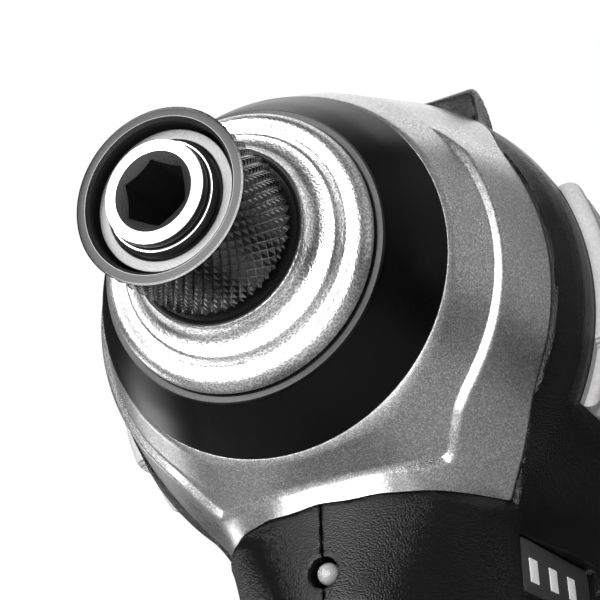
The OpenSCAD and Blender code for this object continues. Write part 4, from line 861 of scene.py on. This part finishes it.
# Side panels
# A light grey moulded panel snapped on each flank of the barrel: a rounded bar at its front edge, a shallow
# recess behind it, and a lower step; its rim is rolled down on to the barrel.
pale_grain = (0.35, 0.03)
pale_plastic = finish("pale_plastic", 0.3, 0.0, 0.45, pale_grain, spread=0.12)
panel_front, panel_back, panel_low, panel_high = 49.95, 104.8, -18, 12
panel_rise, panel_seat = 2.12, 0.05
panel_rows, panel_columns = 120, 240
panel_row_gather, panel_column_gather = 2.2, 3.0
panel_front_roll, panel_back_roll, panel_low_roll, panel_high_roll = 0.8, 1.5, 1.2, 1.6
notch_above, notch_run, notch_depth = -10, 0.8, 1.6
sweep_above, sweep_run, sweep_depth = 7, 5, 1.2
recess_share, recess_front, recess_front_run, recess_back, recess_back_run = 0.5, 1.8, 0.5, 5.0, 0.8
low_step_share, low_step_above, low_step_run = 0.35, -10.5, 0.9


def rolled(distance, width):
    """Zero at an edge, one beyond the width, along a quarter of an ellipse."""
    share = np.clip(distance / width, 0, 1)
    return np.sqrt(np.clip(1 - (1 - share) ** 2, 0, 1))


def crowded(count, gather):
    """Shares from nought to one that crowd towards both ends."""
    t = np.linspace(-1, 1, count)
    return (np.sign(t) * (1 - (1 - np.abs(t)) ** gather) + 1) / 2


def there_and_back(outer, inner):
    """Rows that run out along one surface and back along the other."""
    return np.concatenate([outer, inner[:, ::-1]], axis=1)


panel_up = panel_low + (panel_high - panel_low) * crowded(panel_rows, panel_row_gather)
panel_s = panel_front + (panel_back - panel_front) * crowded(panel_columns, panel_column_gather)
panel_grid_s, panel_grid_up = np.meshgrid(panel_s, panel_up)
panel_notch = notch_depth * np.clip((notch_above - panel_grid_up) / notch_run, 0, 1)
panel_sweep = sweep_depth * np.clip((panel_grid_up - sweep_above) / sweep_run, 0, 1) ** 2
panel_in = panel_grid_s - (panel_front + panel_notch + panel_sweep)
panel_edge = np.minimum(
    rolled(panel_in, panel_front_roll) * rolled(panel_back - panel_grid_s, panel_back_roll),
    rolled(panel_grid_up - panel_low, panel_low_roll) * rolled(panel_high - panel_grid_up, panel_high_roll))
panel_recess = recess_share * (np.clip((panel_in - recess_front) / recess_front_run, 0, 1)
                               - np.clip((panel_in - recess_back) / recess_back_run, 0, 1))
panel_step = low_step_share * np.clip((low_step_above - panel_grid_up) / low_step_run, 0, 1)
panel_height = panel_rise * panel_edge * (1 - panel_recess - panel_step)
barrel_there = np.interp(panel_grid_s, barrel_table[:, 0], barrel_table[:, 1])
panel_inner = barrel_there + panel_seat
panel_radius = there_and_back(panel_inner + panel_height, panel_inner)
panel_ring_s = there_and_back(panel_grid_s, panel_grid_s)
panel_ring_up = there_and_back(panel_grid_up, panel_grid_up)
panel_lean = np.arcsin(panel_ring_up / (barrel_there.max() + panel_rise))
for side, node in ((1, "side_panel_left"), (-1, "side_panel_right")):
    panel_across = side * panel_radius * np.cos(panel_lean)
    panel_points = placed(panel_across, panel_ring_s, panel_radius * np.sin(panel_lean))
    dress(skin(node + "_piece", panel_points), pale_plastic, "housing", "grey_plastic", node)

# Charge display
# A dark moulded window flush in the left of the neck, with three light bars behind clear slots.
# It slants with its height, as its slot in the housing does.
window_grain, lit_grain = (0.3, 0.012), (0.4, 0.004)
window_plastic = finish("window_plastic", 0.06, 0.0, 0.5, window_grain, spread=0.15)
lit_bar = finish("lit_bar", 0.82, 0.0, 0.45, lit_grain, spread=0.06)
bar_glow = 0.2
gauge_face, gauge_thickness, gauge_corner, gauge_ease = 17.35, 1.3, 1.3, 0.15
bar_count, bar_width, bar_low, bar_high, bar_pitch, bar_lead = 3, 3.5, -36.2, -33.2, 8.7, 3.1
bar_base, bar_stand, bar_corner, bar_ease = 0.5, 0.06, 0.12, 0.04


def slab(outline, thickness, ease, lay, turns=4):
    """A plate with rounded rims: rows run from the middle of one face over the rim, which is a quarter
    ellipse at each face, to the middle of the other; each row is the outline drawn in to its middle."""
    middle = (outline.min(0) + outline.max(0)) / 2
    half = (outline.max(0) - outline.min(0)) / 2
    bend = np.linspace(0, math.pi / 2, turns)
    inset = np.concatenate([ease * (1 - np.sin(bend)), ease * (1 - np.cos(bend))])
    height = np.concatenate([ease * (1 - np.cos(bend)), thickness - ease * (1 - np.sin(bend))])
    shrink = np.concatenate([[[0, 0]], 1 - inset[:, None] / half, [[0, 0]]])
    height = np.concatenate([[0], height, [thickness]])
    flat = middle + (outline - middle) * shrink[:, None, :]
    return lay(flat[..., 0], flat[..., 1], height[:, None] + 0 * flat[..., 0])


def round_rectangle(low, high, corner, steps=8):
    """Outline of a rectangle between two corners, each corner a quarter circle."""
    low, high = np.array(low, float), np.array(high, float)
    turn = np.linspace(0, math.pi / 2, steps)
    quarters = [turn + k * math.pi / 2 for k in range(4)]
    arcs = [np.stack([np.cos(quarter), np.sin(quarter)], axis=1) * corner for quarter in quarters]
    centres = [(high[0] - corner, high[1] - corner), (low[0] + corner, high[1] - corner),
               (low[0] + corner, low[1] + corner), (high[0] - corner, low[1] + corner)]
    return np.concatenate([arc + centre for arc, centre in zip(arcs, centres)])


def on_neck(base):
    """Lays a plate on the left of the neck: along the tool, up and out from a base; it slants with height."""
    return lambda s, up, out: placed(base + out, s + gauge_slant_share * (up - gauge_high), up)


gauge_outline = round_rectangle((gauge_front, gauge_low), (gauge_back, gauge_high), gauge_corner)
gauge_points = slab(gauge_outline, gauge_thickness, gauge_ease, on_neck(gauge_face - gauge_thickness))
dress(skin("gauge_window_piece", gauge_points), window_plastic, "housing", "dark_plastic", "gauge_window")
bar_pieces = []
for i in range(bar_count):
    start = gauge_front + bar_lead + i * bar_pitch
    bar_outline = round_rectangle((start, bar_low), (start + bar_width, bar_high), bar_corner)
    bar_points = slab(bar_outline, bar_base + bar_stand, bar_ease, on_neck(gauge_face - bar_base))
    bar_pieces.append(skin("gauge_bars_piece" if i == 0 else f"gauge_bar_{i}", bar_points))
with bpy.context.temp_override(active_object=bar_pieces[0], selected_editable_objects=bar_pieces):
    bpy.ops.object.join()
lit_shader = lit_bar.node_tree.nodes["Principled BSDF"]
feed(lit_shader, {"Emission Color": (1, 1, 1, 1), "Emission Strength": bar_glow})
dress(bar_pieces[0], lit_bar, "housing", "light_bars", "gauge_bars")

# Work light
# A clear round-ended lamp sunk in a hole in the chin, held between the halves.
# Its body is cast resin, a little cloudy, with a faint ripple in its skin.
lens_clear, lens_bend = 0.75, 1.5
lens_scale, lens_ripple = 900, 0.004
lens_dim, lens_bright = 0.62, 0.92
lens_smooth, lens_rough = 0.04, 0.14
clear_lens = bpy.data.materials.new("clear_lens")
clear_lens.use_nodes = True
lens_tree = clear_lens.node_tree
lens_place = add_node(lens_tree, "ShaderNodeTexCoord", {}).outputs["Object"]
lens_fit = {"Vector": lens_place, "Scale": lens_scale}
lens_cloud = add_node(lens_tree, "ShaderNodeTexNoise", lens_fit).outputs["Fac"]
lens_tint = add_node(lens_tree, "ShaderNodeValToRGB", {"Fac": lens_cloud})
lens_tint.color_ramp.elements[0].color = (lens_dim, lens_dim, lens_dim, 1)
lens_tint.color_ramp.elements[1].color = (lens_bright, lens_bright, lens_bright, 1)
lens_gloss = add_node(lens_tree, "ShaderNodeMapRange", {
    "Value": lens_cloud, "To Min": lens_smooth, "To Max": lens_rough})
lens_relief = add_node(lens_tree, "ShaderNodeBump", {"Height": lens_cloud, "Distance": lens_ripple * mm})
feed(lens_tree.nodes["Principled BSDF"], {
    "Transmission Weight": lens_clear, "IOR": lens_bend, "Base Color": lens_tint.outputs["Color"],
    "Roughness": lens_gloss.outputs["Result"], "Normal": lens_relief.outputs["Normal"]})
lamp_tip, lamp_radius, lamp_back = 29.9, 1.25, 37.5
lamp_bend_steps, lamp_turn_steps = 14, 48
lamp_bend = np.linspace(0, math.pi / 2, lamp_bend_steps)
lamp_dome_behind = lamp_tip + lamp_radius * (1 - np.cos(lamp_bend))
lamp_dome = np.stack([lamp_dome_behind, lamp_radius * np.sin(lamp_bend)], axis=1)
lamp_profile = np.concatenate([lamp_dome, [(lamp_back, lamp_radius), (lamp_back, 0)]])
lamp_points = turned(lamp_profile, lamp_turn_steps, chin_above)
dress(skin("work_light_piece", lamp_points), clear_lens, "housing", "clear_lens", "work_light")

# Trigger, direction slider, switch and board
# The trigger is a smooth black moulding with a hollow for the finger, the slider a bar through the neck.
# The switch, the board and the trigger's spring behind them stay as the model gives them.
satin_grain, board_grain = (0.3, 0.02), (0.8, 0.02)
satin_black = finish("satin_black", 0.02, 0.0, 0.38, satin_grain, spread=0.25, wear=0.2)
board_green = finish("board_green", (0.03, 0.16, 0.07), 0.0, 0.4, board_grain)
trigger_front, trigger_depth, trigger_low, trigger_height, trigger_half = 42.5, 19, -74, 25, 6.5
trigger_ease, trigger_turns, trigger_bend_steps = 2.2, 7, 10
trigger_shares = np.array([(0.3, 1, 0.1), (1, 1, 0.02), (1, 0, 0.02), (0.16, 0, 0.06), (0.0, 0.09, 0.08),
                           (0.13, 0.42, 0.25), (0.17, 0.75, 0.2)])


def through_neck(half):
    """Lays a plate across the tool, from a half width on its right to the same on its left."""
    return lambda s, up, out: placed(out - half, s, up)


trigger_line = eased(trigger_shares, trigger_bend_steps) * (trigger_depth, trigger_height)
trigger_line = trigger_line + (trigger_front, trigger_low)
trigger_points = slab(trigger_line, 2 * trigger_half, trigger_ease, through_neck(trigger_half), trigger_turns)
dress(skin("trigger_piece", trigger_points), satin_black, "trigger", "dark_plastic", "trigger")
slider_half, slider_front, slider_back, slider_low, slider_high = 20.9, 65.35, 77.25, -43.95, -39.05
slider_corner, slider_ease, slider_turns = 1.2, 0.9, 6
slider_outline = round_rectangle((slider_front, slider_low), (slider_back, slider_high), slider_corner)
slider_points = slab(slider_outline, 2 * slider_half, slider_ease, through_neck(slider_half), slider_turns)
slider_skin = skin("direction_slider_piece", slider_points)
dress(slider_skin, satin_black, "direction_slider", "dark_plastic", "direction_slider")
coat(inner_plastic, "switch_body")
coat(board_green, "control_board")
coat(polished_wire, "trigger_spring")

# Rear cap and screws
# The cap closes the barrel behind the motor; it is moulded like the housing and held by two screws.
# The screws of the cap and of the housing are plated steel with plain heads.
screw_grain = (0.2, 0.012)
plated_screw = finish("plated_screw", 0.35, 1.0, 0.35, screw_grain, spread=0.2, wear=0.5)
cap_front, cap_run, cap_radius = 126.05, 15.9, 28.62
cap_side_power, cap_end_power = 2.6, 6
cap_screw_arm, cap_screw_seat = 21.6, 136.67
cap_stretches, cap_deep_stretches = ((-29.6, 29.6, 0.6),), ((125.3, 143, 0.45),)


def cap_field(x, s, up):
    """A blunt dome, whose share of the radius to one power and share of the length to another add up to one,
    hollowed by the wall, with a post and a sunk hole for each screw."""
    out = np.hypot(x, up)
    deep = np.clip(s - cap_front, 0, None)
    scale = cap_radius / cap_side_power
    dome = ((out / cap_radius) ** cap_side_power + (deep / cap_run) ** cap_end_power - 1) * scale
    inner = ((out / (cap_radius - shell_wall)) ** cap_side_power
             + (deep / (cap_run - shell_wall)) ** cap_end_power - 1) * scale
    post = np.hypot(np.abs(x) - cap_screw_arm, up)
    body = carved(np.maximum(dome, cap_front - s), np.maximum(inner, boss_radius - post), wall_ease)
    sunk = np.maximum(post - head_hole, cap_screw_seat - s)
    return carved(body, np.minimum(post - screw_hole, sunk), hole_ease)


cap_lines = spaced(cap_stretches)
cap_points, cap_quads = lattice_skin(cap_field, cap_lines, spaced(cap_deep_stretches), cap_lines)
cap_piece = poured("rear_cap_piece", placed(*cap_points.T), cap_quads, housing_crease)
dress(cap_piece, black_nylon, "housing", "black_nylon", "rear_cap")
coat(plated_screw, "housing_screws", "rear_cap_screws")

# Grip pad
# A thin soft pad moulded over the back of the grip, with shallow ribs across it.
# Its ends and sides are rolled down to the grip's skin.
pad_grain = (0.5, 0.03)
pad_rubber = finish("pad_rubber", 0.012, 0.0, 0.62, pad_grain, spread=0.3)
pad_from, pad_to, pad_rise, pad_seat = 30.5, 87.5, 0.8, 0.03
pad_start_share = 0.735
pad_rib_pitch, pad_rib_height, pad_rib_power = 3.0, 0.35, 3
pad_rows, pad_columns, pad_gather = 240, 96, 1.8
pad_end_roll, pad_side_roll, pad_width = 1.5, 1.2, 30
pad_crease = 60
pad_drop = np.linspace(pad_from, pad_to, pad_rows)[:, None]
pad_share = crowded(pad_columns, pad_gather)[None, :]
pad_turn = (2 * pad_share - 1) * math.acos(1 - grip_depth * (1 - pad_start_share) / grip_half)
pad_end = rolled(pad_drop - pad_from, pad_end_roll) * rolled(pad_to - pad_drop, pad_end_roll)
pad_edge = np.minimum(pad_end, rolled(np.minimum(pad_share, 1 - pad_share) * pad_width, pad_side_roll))
pad_wave = 0.5 + 0.5 * np.cos(2 * math.pi * (pad_drop - pad_from) / pad_rib_pitch)
pad_height = pad_edge * (pad_rise - pad_rib_height * pad_wave ** pad_rib_power) + pad_seat
pad_centre = grip_depth - grip_half


def on_grip(height):
    """Points round the back of the grip: an arc about its rear centre, carried down its leaning length."""
    out = grip_half + height
    back = pad_centre + out * np.cos(pad_turn)
    x = out * np.sin(pad_turn) + 0 * pad_drop
    s = grip_front + back * math.cos(grip_lean) + pad_drop * math.sin(grip_lean)
    up = grip_roof + back * math.sin(grip_lean) - pad_drop * math.cos(grip_lean)
    return x, s, up


pad_outer, pad_inner = on_grip(pad_height), on_grip(pad_seat + 0 * pad_height)
pad_points = placed(*map(there_and_back, pad_outer, pad_inner))
pad_skin = skin("grip_pad_piece", pad_points, crease=pad_crease)
dress(pad_skin, pad_rubber, "housing", "black_rubber", "grip_pad")

# Foot fittings
# Two brass inserts for a belt clip, moulded into the foot, and the terminal block with its brass blades.
# They stay as the model gives them.
brass_grain = (0.3, 0.01)
brass = finish("brass", (0.55, 0.4, 0.16), 1.0, 0.3, brass_grain)
coat(brass, "clip_inserts", "terminal_blades")
coat(inner_plastic, "terminal_block")

# Battery
# A slide-on pack: a deep base and a lid moulded in black nylon, screwed together round three wrapped cells,
# with a sprung latch at its front.
cell_grain = (2.0, 0.01)
cell_wrap = finish("cell_wrap", (0.05, 0.2, 0.22), 0.0, 0.35, cell_grain)
base_round, base_segments = 1.6, 4
lid_round, lid_segments = 0.5, 3
flat_angle, sharp_angle = 1, 40


def eased_copy(node, width, segments):
    """A copy of a node's mesh, merged, with its sharp edges rounded by a bevel of the width."""
    piece = settled(node + "_piece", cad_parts[node].data.copy(), sharp_angle, flat_angle)
    edge = piece.modifiers.new("eased_edges", "BEVEL")
    edge.width = width * mm
    edge.segments = segments
    edge.limit_method = "ANGLE"
    edge.angle_limit = math.radians(sharp_angle)
    return piece


for node, width, segments, material, body, slot in (
        ("battery_base", base_round, base_segments, black_nylon, "battery", "black_nylon"),
        ("battery_lid", lid_round, lid_segments, black_nylon, "battery", "black_nylon"),
        ("battery_latch", lid_round, lid_segments, satin_black, "latch", "dark_plastic")):
    dress(eased_copy(node, width, segments), material, body, slot, node)
coat(cell_wrap, "battery_cells")
coat(brass, "battery_contacts")
coat(polished_wire, "latch_spring")
coat(plated_screw, "battery_screws")
